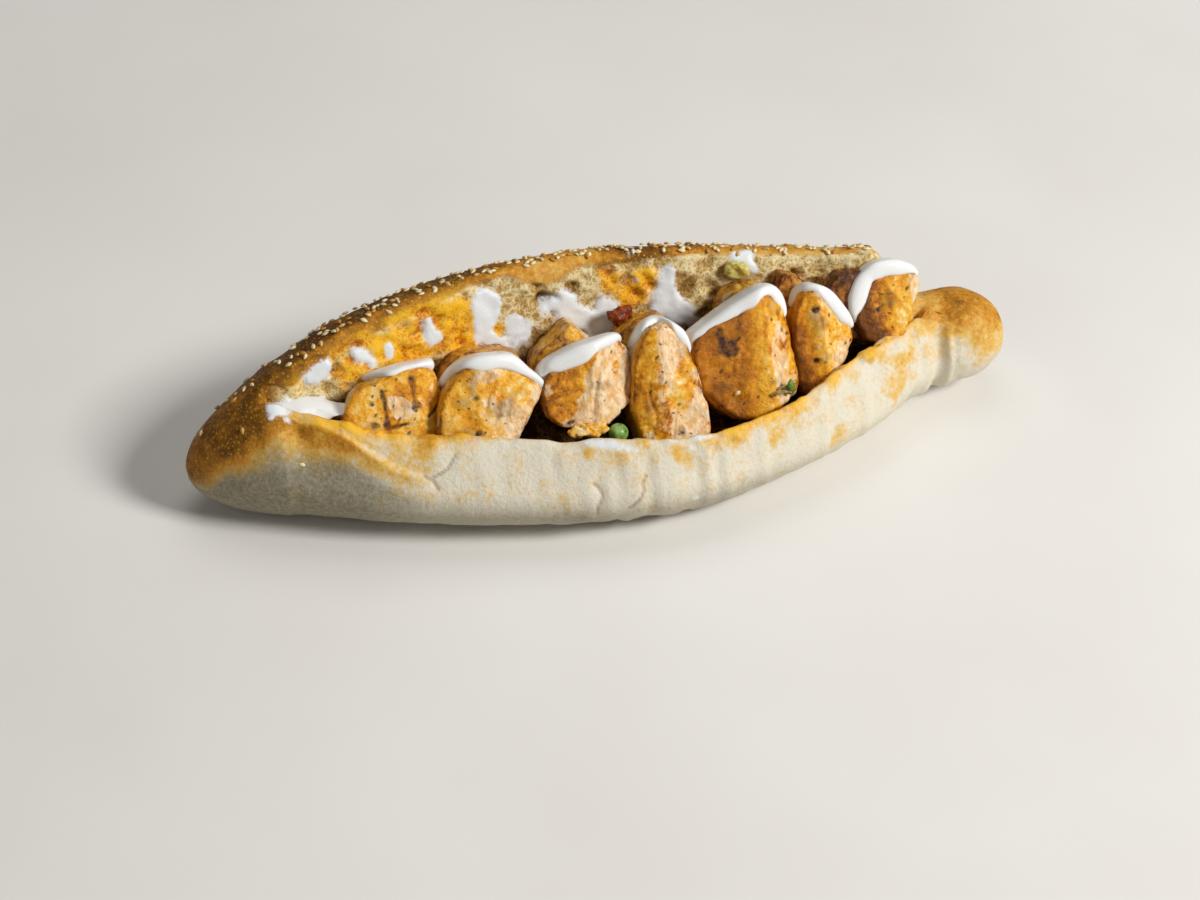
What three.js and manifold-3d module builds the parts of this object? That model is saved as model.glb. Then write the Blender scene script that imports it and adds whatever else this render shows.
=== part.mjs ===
// A filled baguette: a small loaf split along its top and opened like a boat, sesame on the tall
// back leaf's crust, chunks of grilled chicken in the cut, thick white sauce over the chunks and a
// few scraps of vegetable.
// Millimetres. +X runs along the loaf to its small end, -Y is the low front leaf, +Z is up.
import * as THREE from "three";
import { mergeVertices } from "three/addons/utils/BufferGeometryUtils.js";
import Module from "manifold-3d";

const wasm = await Module();
wasm.setup();

const DEGREES = Math.PI / 180;
const { lerp, clamp, smoothstep } = THREE.MathUtils;

// Moves the middle of the outline onto the origin
const PLAN_OFFSET = { x: -3.5, y: 4.2 };

// Ends of the loaf: the station where each starts, and how far it reaches past that
const BLUNT_END = { x: -117, reach: 33.5 };
const SMALL_END = { x: 138, reach: 19.5 };

// The loaf's offsets at stations along it. "round" is the uncut section's radius and the height of
// its centre; "front" and "back" are the bellies of the opened leaves; "lip" is the edge of the low
// front leaf and "crown" the top of the tall back leaf, both as across and height.
const OFFSETS = [
  { x: -150, middle: 0, round: [26.5, 17], front: -26, lip: [-3, 43], crown: [4, 47], back: 26 },
  { x: -117, middle: 0, round: [27.5, 24], front: -28, lip: [-9, 44], crown: [6, 52], back: 28 },
  { x: -90, middle: 1, round: [30, 28], front: -37, lip: [-22, 42], crown: [14, 61], back: 37 },
  { x: -50, middle: 2, round: [30, 28], front: -49, lip: [-31, 39], crown: [24, 66], back: 44 },
  { x: -8, middle: 3, round: [29, 27], front: -56, lip: [-41, 37], crown: [31, 65], back: 48 },
  { x: 30, middle: 3, round: [28, 26], front: -55.5, lip: [-45, 36], crown: [32, 62], back: 48 },
  { x: 65, middle: 4, round: [26, 24], front: -44.5, lip: [-35, 36], crown: [28, 58], back: 44 },
  { x: 95, middle: 4.5, round: [23, 22], front: -31, lip: [-17, 38], crown: [22, 57], back: 36 },
  { x: 110, middle: 5, round: [20, 20.5], front: -22, lip: [-10, 39.5], crown: [18, 56], back: 30 },
  { x: 117, middle: 5, round: [19, 20], front: -18, lip: [-7, 39], crown: [15, 45], back: 27 },
  { x: 128, middle: 5.5, round: [18.5, 20], front: -14, lip: [-4, 38], crown: [11, 41], back: 24.5 },
  { x: 138, middle: 6, round: [18, 21], front: -13.5, lip: [-1, 38], crown: [9, 40], back: 25 },
];

// Cut along the top: its two ends, how gradually it opens there, and the height of its floor
const CUT = { from: -123, to: 127, openOver: 15, floor: 15 };
// Crust that shows on the back leaf's edge: its thickness, and how far it drops to the crumb
const EDGE = { across: 7, drop: 2 };
// Crease where the front leaf meets the small end
const CREASE = { x: 128, depth: 4, width: 3.5 };
// Stations in the loaf's grid, and how much closer they lie towards the ends
const GRID = { stations: 46, crowding: 0.55 };

// Clearance that is left between neighbouring pieces
const GAP = 0.4;

// Sesame seeds on the browned crust, between two stations and two points of the section
const SEED = { length: 3.4, width: 2.1, thickness: 1.5, count: 76, spin: 2.4 };
const SEED_BAND = { fromX: -145, toX: 106, below: "back belly", above: "crust edge", margin: 0.35 };

// Chicken chunks are blocks with rounded edges, their tops tipped back by an angle in degrees
const CHUNK = { sharpness: 12 };
const FRONT_ROW = { lean: 35, detail: 3 };
const BACK_ROW = { lean: 28, detail: 2 };

// Chunks in the cut. at: centre; outline: corners seen square to the leaning front, across and up,
// clockwise from the left; depth: front to back; ridge: where the front's two faces meet; turn: how
// far the left and the right face are turned aside; sauce: the stretch of thick sauce over the top,
// from right to left. Angles in degrees.
const FRONT_CHUNKS = [
  {
    at: [-75.5, -8, 35.5], depth: 24, ridge: 8, turn: [0, 25], sauce: [40, 140],
    outline: [
      [-18, 6], [-12.5, 12.5], [9, 17], [14.5, 16.5], [16.5, 8], [13, -10], [9, -16], [-14, -11], [-20, -1],
    ],
  },
  {
    at: [-44, -14.5, 36.5], depth: 25, ridge: 4, turn: [5, 12], sauce: [25, 150],
    outline: [[-19, -6], [-16, 8], [-9, 16.5], [-3, 19], [10, 18], [21, 6], [10, -11], [5, -17], [-17, -13]],
  },
  {
    at: [-7, -13, 38.5], depth: 26, ridge: 3, turn: [12, 25], sauce: [50, 155],
    outline: [
      [-17.5, 0], [-16.5, 6], [-12, 12], [-6, 14], [10, 17.5], [13.5, 16.5], [17, 7], [14.5, -6.5], [6, -13],
      [-6, -13.5], [-15, -8.5],
    ],
  },
  {
    at: [21, -20, 34.5], depth: 24, ridge: -2, turn: [20, 12], sauce: [60, 125],
    outline: [
      [-14, 1], [-10.5, 18], [-7, 25], [-2, 28], [2, 27.5], [8, 21.5], [11, 10], [13.5, -6], [13, -17],
      [6, -22], [-11, -17],
    ],
  },
  {
    at: [53, -12, 37.5], depth: 28, ridge: 6, turn: [12, 35], sauce: [50, 160],
    outline: [
      [-21.5, 4], [-20, 13], [6.5, 27], [10.5, 26.5], [14.3, 22], [18, -7], [15, -13], [0, -19], [-8, -19],
      [-15, -13], [-21, -4],
    ],
  },
  {
    at: [81, -5.5, 36], depth: 22, ridge: 1, turn: [20, 25], sauce: [20, 120],
    outline: [
      [-9, 9], [-5.5, 19.5], [-2.5, 22], [2, 21], [6, 18], [13.8, 3.5], [11.5, -3], [0, -18], [-6, -20],
      [-9, -17], [-10, 0],
    ],
  },
  {
    at: [109.5, 3, 40.5], depth: 18, ridge: 0, turn: [5, 5], sauce: [50, 190],
    outline: [
      [-13.2, 0], [-13, 6.5], [-10, 12.5], [-4, 16.5], [4, 17], [11, 13.5], [13, 9], [5, -9], [0, -13],
      [-10, -10],
    ],
  },
];
const BACK_CHUNKS = [
  {
    at: [-42.5, 4, 38.5], depth: 16, ridge: 0, turn: [10, 10],
    outline: [[-15, 2], [-11, 7], [-4, 10], [9, 8], [15, 5], [14, -5], [6, -12], [-13, -12]],
  },
  {
    at: [-9, 5.5, 37], depth: 16, ridge: -2, turn: [15, 10],
    outline: [[-15, 0], [-12, 5], [1, 15], [5, 11], [14, 1], [13, -9], [-4, -14], [-14, -9]],
  },
  {
    at: [19, 6, 40], depth: 14, ridge: 0, turn: [10, 10],
    outline: [[-11, 4], [-7, 8], [0, 10], [7, 10], [11, 4], [9, -12], [-2, -14], [-10, -8]],
  },
  {
    at: [57.5, 9, 44], depth: 15, ridge: 0, turn: [10, 10],
    outline: [[-11, 0], [-6, 9], [-1, 11], [8, 10], [12, 6], [9, -10], [-1, -16], [-10, -12]],
  },
  {
    at: [75, 10.5, 46.5], depth: 11, ridge: 0, turn: [15, 15],
    outline: [[-6, 3], [-3, 11], [4, 8], [7, 4], [6, -6], [2, -13], [-5, -10]],
  },
  {
    at: [96.5, 7, 45.5], depth: 13, ridge: 0, turn: [15, 10],
    outline: [[-9, 4], [-4, 11], [5, 11], [10, 6], [7, -6], [2, -15], [-7, -13]],
  },
];

// Thick sauce over a chunk: an oval bead on its upper rim, leaning back as the row of chunks does and
// drawn forward by an angle
const BEAD = { width: 9, thickness: 4, lean: 32, forward: 16, sides: 6, steps: 8, sink: 0.6 };

// Sauce that has run together at the blunt end of the cut
const SAUCE_POOL = { at: [-108, -6, 43], size: [34, 14, 10], turn: -12 };

// Scraps that lie between the chunks
const PEA = { at: [0.5, -33.5, 33.5], size: [7, 7, 7], turn: 0 };
const SHRED = { at: [-9.5, -31.5, 35], size: [15, 5, 4], turn: -8 };
const PEPPER = { at: [11, 13, 48], size: [8, 5, 5], turn: 20 };
const PICKLE = { at: [57.5, 20, 56], size: [8, 5, 7], turn: -15 };
const GREEN = { at: [65, -28.5, 38.5], size: [6, 4.5, 5], turn: 30 };

const CRUST_FINISH = { color: 0xd6a766, roughness: 0.8, metalness: 0 };
const CHICKEN_FINISH = { color: 0xd99a45, roughness: 0.5, metalness: 0 };
const BROWNED_FINISH = { color: 0x9a5a2a, roughness: 0.5, metalness: 0 };
const SAUCE_FINISH = { color: 0xf2efe8, roughness: 0.3, metalness: 0 };
const GREEN_FINISH = { color: 0x5f9440, roughness: 0.4, metalness: 0 };
const PEPPER_FINISH = { color: 0xa83c1c, roughness: 0.4, metalness: 0 };
const PICKLE_FINISH = { color: 0xb9b04a, roughness: 0.4, metalness: 0 };

// Smooth curve through the offsets
const offsetRows = OFFSETS.map((row) => [
  row.middle, ...row.round, row.front, ...row.lip, ...row.crown, row.back,
]);
const offsetCurve = new THREE.CubicInterpolant(
  OFFSETS.map((row) => row.x), offsetRows.flat(), offsetRows[0].length,
);

// The loaf's measures at station x; "cut" is 0 where the loaf is whole and 1 where it is open
function measuresAt(x) {
  const [middle, radius, centreZ, front, lipY, lipZ, crownY, crownZ, back] = offsetCurve.evaluate(x);
  const crease = CREASE.depth * Math.exp(-(((x - CREASE.x) / CREASE.width) ** 2));
  const opened = smoothstep(x, CUT.from, CUT.from + CUT.openOver);
  const closed = smoothstep(x, CUT.to - CUT.openOver, CUT.to);
  const cut = opened * (1 - closed);
  return { middle, radius, centreZ, front, lipY, lipZ, crownY, crownZ, back, cut, crease };
}

// Towards its ends the section shrinks about its centre: as a paraboloid's does at the blunt end, as
// a sphere's at the small end
function endScale(x) {
  const blunt = clamp((BLUNT_END.x - x) / BLUNT_END.reach, 0, 1);
  const small = clamp((x - SMALL_END.x) / SMALL_END.reach, 0, 1);
  return Math.sqrt(1 - Math.max(blunt, small * small));
}

// Control points of a section, from the front lip down the crust, under the loaf, up the back and
// into the cut. "round" is the point's angle on an uncut section, "open" its place on the opened one,
// from the measures by shares and millimetres, and "steps" how many faces follow it.
const SECTION = [
  { name: "lip", round: 108, steps: 1, open: (m) => [m.lipY, m.lipZ] },
  { name: "lip shoulder", round: 132, steps: 3, open: (m) => [lerp(m.front, m.lipY, 0.38), m.lipZ - 9] },
  { name: "front belly", round: 180, steps: 3, open: (m) => [m.front, 0.46 * m.lipZ] },
  { name: "front under", round: 222, steps: 2, open: (m) => [m.front + 9, 0.12 * m.lipZ] },
  { name: "front base", round: 255, steps: 2, open: (m) => [m.front + 24, 0] },
  { name: "back base", round: 285, steps: 2, open: (m) => [m.back - 24, 0] },
  { name: "back under", round: 318, steps: 2, open: (m) => [m.back - 8, 0.14 * m.crownZ] },
  { name: "back belly", round: 0, steps: 3, open: (m) => [m.back, 0.45 * m.crownZ] },
  { name: "shoulder", round: 42, steps: 2, open: (m) => [lerp(m.crownY, m.back, 0.62), 0.85 * m.crownZ] },
  { name: "crown", round: 72, steps: 2, open: (m) => [m.crownY, m.crownZ] },
  { name: "crust edge", round: 84, steps: 2, open: (m) => [m.crownY - EDGE.across, m.crownZ - EDGE.drop] },
  { name: "crumb wall", round: 89, steps: 2, open: (m) => [m.crownY - 15, lerp(CUT.floor, m.crownZ, 0.5)] },
  { name: "cut back", round: 94, steps: 2, open: (m) => [lerp(m.front, m.crownY, 0.66), CUT.floor + 3] },
  { name: "cut front", round: 99, steps: 2, open: (m) => [lerp(m.front, m.crownY, 0.36), CUT.floor] },
  { name: "lip inside", round: 104, steps: 2, open: (m) => [m.lipY + 5, m.lipZ - 8] },
];

// Places of the control points at station x
function controlPoints(x) {
  const m = measuresAt(x);
  const scale = endScale(x);
  return SECTION.map((control) => {
    const angle = control.round * DEGREES;
    const roundY = m.middle + m.radius * Math.cos(angle);
    const roundZ = m.centreZ + m.radius * Math.sin(angle);
    const [openY, openZ] = control.open(m);
    const y = lerp(roundY, openY, m.cut) + m.crease * Math.max(0, -Math.cos(angle));
    const z = lerp(roundZ, openZ, m.cut);
    return new THREE.Vector2(lerp(m.middle, y, scale), lerp(m.centreZ, z, scale));
  });
}

// A smooth closed curve through the control points, flat where it would pass below the base;
// part i + t lies t of the way from point i to the next
function sectionPoint(points, i, t) {
  const n = points.length;
  const [a, b, c, d] = [i + n - 1, i, i + 1, i + 2].map((k) => points[k % n]);
  const cubic = (key) => {
    const first = c[key] - a[key];
    const second = 2 * a[key] - 5 * b[key] + 4 * c[key] - d[key];
    const third = 3 * b[key] - a[key] - 3 * c[key] + d[key];
    return 0.5 * (2 * b[key] + first * t + second * t * t + third * t * t * t);
  };
  return new THREE.Vector2(cubic("x"), Math.max(0, cubic("y")));
}

// A point on the loaf at station x, part of its section
function loafPoint(x, part) {
  const whole = Math.floor(part);
  const p = sectionPoint(controlPoints(x), whole, part - whole);
  return new THREE.Vector3(x, p.x, p.y);
}

// Outward normal of the loaf there, from two short steps over its surface
function loafNormal(x, part) {
  const p = loafPoint(x, part);
  const along = loafPoint(x + 0.5, part).sub(p);
  const around = loafPoint(x, part + 0.02).sub(p);
  return around.cross(along).normalize();
}

// The loaf as a closed grid: rings of section points between two poles
function loafGeometry() {
  const first = BLUNT_END.x - BLUNT_END.reach;
  const last = SMALL_END.x + SMALL_END.reach;
  const ring = SECTION.reduce((sum, control) => sum + control.steps, 0);
  const positions = [first, measuresAt(first).middle, measuresAt(first).centreZ];
  for (let s = 1; s < GRID.stations; s++) {
    const even = s / GRID.stations;
    const crowded = 0.5 - 0.5 * Math.cos(Math.PI * even);
    const x = lerp(first, last, lerp(even, crowded, GRID.crowding));
    const points = controlPoints(x);
    SECTION.forEach((control, i) => {
      for (let k = 0; k < control.steps; k++) {
        const p = sectionPoint(points, i, k / control.steps);
        positions.push(x, p.x, p.y);
      }
    });
  }
  positions.push(last, measuresAt(last).middle, measuresAt(last).centreZ);
  const lastPole = positions.length / 3 - 1;
  const lastRing = lastPole - ring;
  const faces = [];
  for (let k = 0; k < ring; k++) {
    const next = (k + 1) % ring;
    faces.push(0, 1 + next, 1 + k);
    for (let a = 1; a < lastRing; a += ring) {
      const b = a + ring;
      faces.push(a + k, b + next, b + k, a + k, a + next, b + next);
    }
    faces.push(lastRing + k, lastRing + next, lastPole);
  }
  const geometry = new THREE.BufferGeometry();
  geometry.setAttribute("position", new THREE.Float32BufferAttribute(positions, 3));
  geometry.setIndex(faces);
  return geometry;
}

// A geometry as a solid that can be joined and cut
function solidOf(geometry) {
  const bare = geometry.clone();
  bare.deleteAttribute("normal");
  bare.deleteAttribute("uv");
  const merged = mergeVertices(bare, 1e-4);
  const mesh = new wasm.Mesh({
    numProp: 3,
    vertProperties: merged.attributes.position.array,
    triVerts: new Uint32Array(merged.index.array),
  });
  return new wasm.Manifold(mesh);
}

// A solid's largest body as a geometry
function geometryOf(solid) {
  const body = solid.decompose().sort((a, b) => b.volume() - a.volume())[0];
  const mesh = body.getMesh();
  const geometry = new THREE.BufferGeometry();
  geometry.setAttribute("position", new THREE.BufferAttribute(mesh.vertProperties, 3));
  geometry.setIndex(new THREE.BufferAttribute(mesh.triVerts, 1));
  geometry.computeVertexNormals();
  return geometry;
}

// The same geometry with each point pushed out along its normal
function grown(geometry, distance) {
  const copy = geometry.clone();
  copy.computeVertexNormals();
  const { position, normal } = copy.attributes;
  for (let i = 0; i < position.count; i++) {
    const p = new THREE.Vector3().fromBufferAttribute(position, i);
    p.addScaledVector(new THREE.Vector3().fromBufferAttribute(normal, i), distance);
    position.setXYZ(i, p.x, p.y, p.z);
  }
  return copy;
}

// Place i of an even scatter over a unit square, by the plastic number's rule
function scatter(i) {
  return [(0.5 + 0.7548777 * i) % 1, (0.5 + 0.5698403 * i) % 1];
}

// Sesame seeds, half sunk in the crust of the back leaf and the blunt end
function seedSolids() {
  const partOf = (name) => SECTION.findIndex((control) => control.name === name);
  const firstPart = partOf(SEED_BAND.below) + SEED_BAND.margin;
  const lastPart = partOf(SEED_BAND.above) - SEED_BAND.margin;
  const up = new THREE.Vector3(0, 0, 1);
  const size = new THREE.Vector3(SEED.length, SEED.width, SEED.thickness);
  return Array.from({ length: SEED.count }, (_, i) => {
    const [alongShare, aroundShare] = scatter(i);
    const x = lerp(SEED_BAND.fromX, SEED_BAND.toX, alongShare);
    const part = lerp(firstPart, lastPart, aroundShare);
    const stand = new THREE.Quaternion().setFromUnitVectors(up, loafNormal(x, part));
    const spin = new THREE.Quaternion().setFromAxisAngle(up, i * SEED.spin);
    const place = new THREE.Matrix4().compose(loafPoint(x, part), stand.multiply(spin), size);
    return solidOf(new THREE.IcosahedronGeometry(0.5, 0).applyMatrix4(place));
  });
}

// A chunk's faces as planes: outward normals and their distances from its centre
function chunkPlanes(spec, grow) {
  const planes = [];
  const add = (normal, point) => {
    normal.normalize();
    planes.push({ normal, distance: normal.dot(point) + grow });
  };
  spec.outline.forEach(([across, up], i) => {
    const [nextAcross, nextUp] = spec.outline[(i + 1) % spec.outline.length];
    const outward = new THREE.Vector3(up - nextUp, 0, nextAcross - across);
    add(outward, new THREE.Vector3(across, 0, up));
  });
  const [left, right] = spec.turn;
  const front = new THREE.Vector3(spec.ridge, -spec.depth / 2, 0);
  for (const angle of [-left * DEGREES, right * DEGREES]) {
    add(new THREE.Vector3(Math.sin(angle), -Math.cos(angle), 0), front);
  }
  add(new THREE.Vector3(0, 1, 0), new THREE.Vector3(0, spec.depth / 2, 0));
  return planes;
}

// Distance from a chunk's centre to its surface along a unit direction: a soft minimum over the planes
function chunkReach(planes, direction) {
  let sum = 0;
  for (const plane of planes) {
    sum += Math.pow(Math.max(0, plane.normal.dot(direction) / plane.distance), CHUNK.sharpness);
  }
  return Math.pow(sum, -1 / CHUNK.sharpness);
}

// Where a chunk stands
function chunkMatrix(spec, row) {
  return new THREE.Matrix4().makeRotationX(-row.lean * DEGREES).setPosition(...spec.at);
}

// A chunk's block in place
function chunkBlock(spec, row, grow) {
  const planes = chunkPlanes(spec, grow);
  const geometry = new THREE.IcosahedronGeometry(1, row.detail);
  const { position } = geometry.attributes;
  for (let i = 0; i < position.count; i++) {
    const direction = new THREE.Vector3().fromBufferAttribute(position, i).normalize();
    direction.multiplyScalar(chunkReach(planes, direction));
    position.setXYZ(i, direction.x, direction.y, direction.z);
  }
  return solidOf(geometry.applyMatrix4(chunkMatrix(spec, row)));
}

// The sauce over a chunk: an oval carried along the chunk's upper rim
function chunkBead(spec, row, grow) {
  const planes = chunkPlanes(spec, 0);
  const unturn = new THREE.Matrix4().extractRotation(chunkMatrix(spec, row)).invert();
  const [right, left] = spec.sauce;
  const path = [];
  for (let k = 0; k <= BEAD.steps; k++) {
    const angle = lerp(left, right, k / BEAD.steps) * DEGREES;
    const rim = new THREE.Vector3(Math.cos(angle), -Math.tan(BEAD.forward * DEGREES), Math.sin(angle));
    rim.normalize().applyAxisAngle(new THREE.Vector3(1, 0, 0), -BEAD.lean * DEGREES);
    const reach = chunkReach(planes, rim.clone().applyMatrix4(unturn)) - BEAD.sink;
    path.push(rim.multiplyScalar(reach).add(new THREE.Vector3(...spec.at)));
  }
  const oval = new THREE.Shape();
  oval.absellipse(0, 0, BEAD.thickness / 2 + grow, BEAD.width / 2 + grow, 0, 2 * Math.PI);
  const geometry = new THREE.ExtrudeGeometry(oval, {
    extrudePath: new THREE.CatmullRomCurve3(path),
    steps: BEAD.steps,
    curveSegments: BEAD.sides / 2,
  });
  return solidOf(geometry);
}

// A chunk of the front row with its sauce
function saucedChunk(spec, grow) {
  return chunkBlock(spec, FRONT_ROW, grow).add(chunkBead(spec, FRONT_ROW, grow));
}

// A rounded scrap
function scrapSolid(spec, grow) {
  const size = new THREE.Vector3(...spec.size).addScalar(2 * grow);
  const up = new THREE.Vector3(0, 0, 1);
  const spin = new THREE.Quaternion().setFromAxisAngle(up, spec.turn * DEGREES);
  const place = new THREE.Matrix4().compose(new THREE.Vector3(...spec.at), spin, size);
  return solidOf(new THREE.IcosahedronGeometry(0.5, 1).applyMatrix4(place));
}

const sandwich = new THREE.Group();
sandwich.position.set(PLAN_OFFSET.x, PLAN_OFFSET.y, 0);

function addNode(name, solid, finish) {
  const mesh = new THREE.Mesh(geometryOf(solid), new THREE.MeshStandardMaterial(finish));
  mesh.name = name;
  sandwich.add(mesh);
}

const loaf = loafGeometry();
addNode("bread", wasm.Manifold.union([solidOf(loaf), ...seedSolids()]), CRUST_FINISH);

// Each filling is cut by all that is already in place, with the gap between them
let taken = solidOf(grown(loaf, GAP));
function addFilling(name, shape, finish) {
  addNode(name, shape(0).subtract(taken), finish);
  taken = taken.add(shape(GAP));
}

FRONT_CHUNKS.forEach((spec, i) => {
  addFilling("chicken_" + (i + 1), (grow) => saucedChunk(spec, grow), CHICKEN_FINISH);
});
BACK_CHUNKS.forEach((spec, i) => {
  addFilling("chicken_back_" + (i + 1), (grow) => chunkBlock(spec, BACK_ROW, grow), BROWNED_FINISH);
});
addFilling("sauce_pool", (grow) => scrapSolid(SAUCE_POOL, grow), SAUCE_FINISH);
addFilling("pea", (grow) => scrapSolid(PEA, grow), GREEN_FINISH);
addFilling("chicken_shred", (grow) => scrapSolid(SHRED, grow), CHICKEN_FINISH);
addFilling("pepper_scrap", (grow) => scrapSolid(PEPPER, grow), PEPPER_FINISH);
addFilling("pickle_scrap", (grow) => scrapSolid(PICKLE, grow), PICKLE_FINISH);
addFilling("green_scrap", (grow) => scrapSolid(GREEN, grow), GREEN_FINISH);

const baguette = new THREE.Group();
baguette.add(sandwich);
export default baguette;
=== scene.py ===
from functools import partial

import bpy
import numpy as np
from bpy.props import FloatProperty, FloatVectorProperty, IntProperty, PointerProperty
from mathutils import Matrix


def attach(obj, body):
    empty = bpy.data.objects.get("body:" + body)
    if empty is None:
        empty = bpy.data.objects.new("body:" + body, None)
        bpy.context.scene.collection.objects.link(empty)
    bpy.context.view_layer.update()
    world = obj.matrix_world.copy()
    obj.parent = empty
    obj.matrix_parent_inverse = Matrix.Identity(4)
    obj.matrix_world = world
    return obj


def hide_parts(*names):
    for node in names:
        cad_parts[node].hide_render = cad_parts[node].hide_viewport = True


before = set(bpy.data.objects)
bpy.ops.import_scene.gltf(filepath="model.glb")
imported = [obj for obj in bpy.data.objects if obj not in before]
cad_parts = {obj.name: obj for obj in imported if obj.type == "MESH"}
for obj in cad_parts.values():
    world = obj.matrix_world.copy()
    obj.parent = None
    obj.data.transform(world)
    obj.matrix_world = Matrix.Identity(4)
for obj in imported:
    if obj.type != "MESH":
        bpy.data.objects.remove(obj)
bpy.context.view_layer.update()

bl_info = {
    "name": "Filled baguette",
    "version": (1, 0, 0),
    "blender": (4, 5, 0),
    "location": "View3D > Sidebar > Baguette",
    "description": "Dresses the packed baguette: crust, crumb, sesame, grilled chicken and white sauce",
    "category": "Object",
}

# Lengths are millimetres in the loaf's own frame, +X to the small end, -Y to the low front leaf, +Z up;
# the stage's are metres where its comment says so. Settings hold metres, and meshes are written in
# metres, moved by PLAN_OFFSET.
MM = 0.001
PLAN_OFFSET = (-3.5, 4.2, 0.0)
BODY = "root"

# The loaf's offsets at stations along it, as in the solid: station, middle of the round section,
# its radius, its centre's height, front belly, lip (across, height), crown (across, height), back.
OFFSETS = np.array([
    (-150, 0, 26.5, 17, -26, -3, 43, 4, 47, 26),
    (-117, 0, 27.5, 24, -28, -9, 44, 6, 52, 28),
    (-90, 1, 30, 28, -37, -22, 42, 14, 61, 37),
    (-50, 2, 30, 28, -49, -31, 39, 24, 66, 44),
    (-8, 3, 29, 27, -56, -41, 37, 31, 65, 48),
    (30, 3, 28, 26, -55.5, -45, 36, 32, 62, 48),
    (65, 4, 26, 24, -44.5, -35, 36, 28, 58, 44),
    (95, 4.5, 23, 22, -31, -17, 38, 22, 57, 36),
    (110, 5, 20, 20.5, -22, -10, 39.5, 18, 56, 30),
    (117, 5, 19, 20, -18, -7, 39, 15, 45, 27),
    (128, 5.5, 18.5, 20, -14, -4, 38, 11, 41, 24.5),
    (138, 6, 18, 21, -13.5, -1, 38, 9, 40, 25),
], float)
# The station where each end begins to close, and how far it reaches beyond
BLUNT_END = (-117.0, 33.5)
SMALL_END = (138.0, 19.5)
# The cut's two stations, the length over which it opens, and its floor; the crust's edge, from the crown;
# the crease before the small end
CUT = {"from": -123, "to": 127, "open_over": 15, "floor": 15}
EDGE = {"across": 7, "drop": 2}
CREASE = {"x": 128, "depth": 4, "width": 3.5}

# Angles of the section's control points on the uncut loaf, in order: lip, lip shoulder, front belly,
# front under, front base, back base, back under, back belly, shoulder, crown, crust edge, crumb wall,
# cut back, cut front, lip inside. A place on the loaf is a station and a part: part 9.5 is half way
# from the crown to the crust edge. A turn is a part that counts on past the lip: the front's parts
# follow on those of the cut, and on the front one part is about FRONT_STEP long.
ROUND_ANGLES = np.radians((108, 132, 180, 222, 255, 285, 318, 0, 42, 72, 84, 89, 94, 99, 104))
PARTS = len(ROUND_ANGLES)
FRONT_PARTS = 5
CROWN = 9
LIP_TURN = PARTS
FRONT_STEP = 13
# Parts where the mesh is sparser, by a share, and the lengths at the two ends where the relief fades out
SPARSE = ((3.6, 6, 0.3), (11.8, 14, 0.5))
SMOOTH_ENDS = (6, 5)

# Stretches of the loaf, as the stations where each begins, is full, begins to end and is gone
SCORE = (-119, -108, -74, -64)
RAISED_LIP = (-114, -104, -96, -76)
BROWN_SEAM = (-116, -104, -58, -38)
# Where painted shade darkens the browned crust up to the crown
DARK_BACK = (-140, -110, -30, 10)
PALE_LIP = (-124, -112, 100, 110)
BLISTERED_LIP = (15, 35, 108, 116)
TORN_LIP = (90, 97, 114, 121)
NECK = (110, 118, 132, 140)
# Bands round the section in the same way, as turns
OUTER_LIP = (15.05, 15.2, 15.5, 15.9)
TINGED_FRONT = (14.7, 15, 15.3, 17.2)
FRONT_LEAF = (15.1, 15.6, 18, 18.6)
# Low on the front leaf, where shade is painted into the crust's colour
LOW_FRONT = (16.3, 17.15, 18.2, 19.5)
# The floor of the cut, where the deepest shade is painted
CUT_FLOOR = (11.3, 12.2, 13.8, 14.4)
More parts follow.
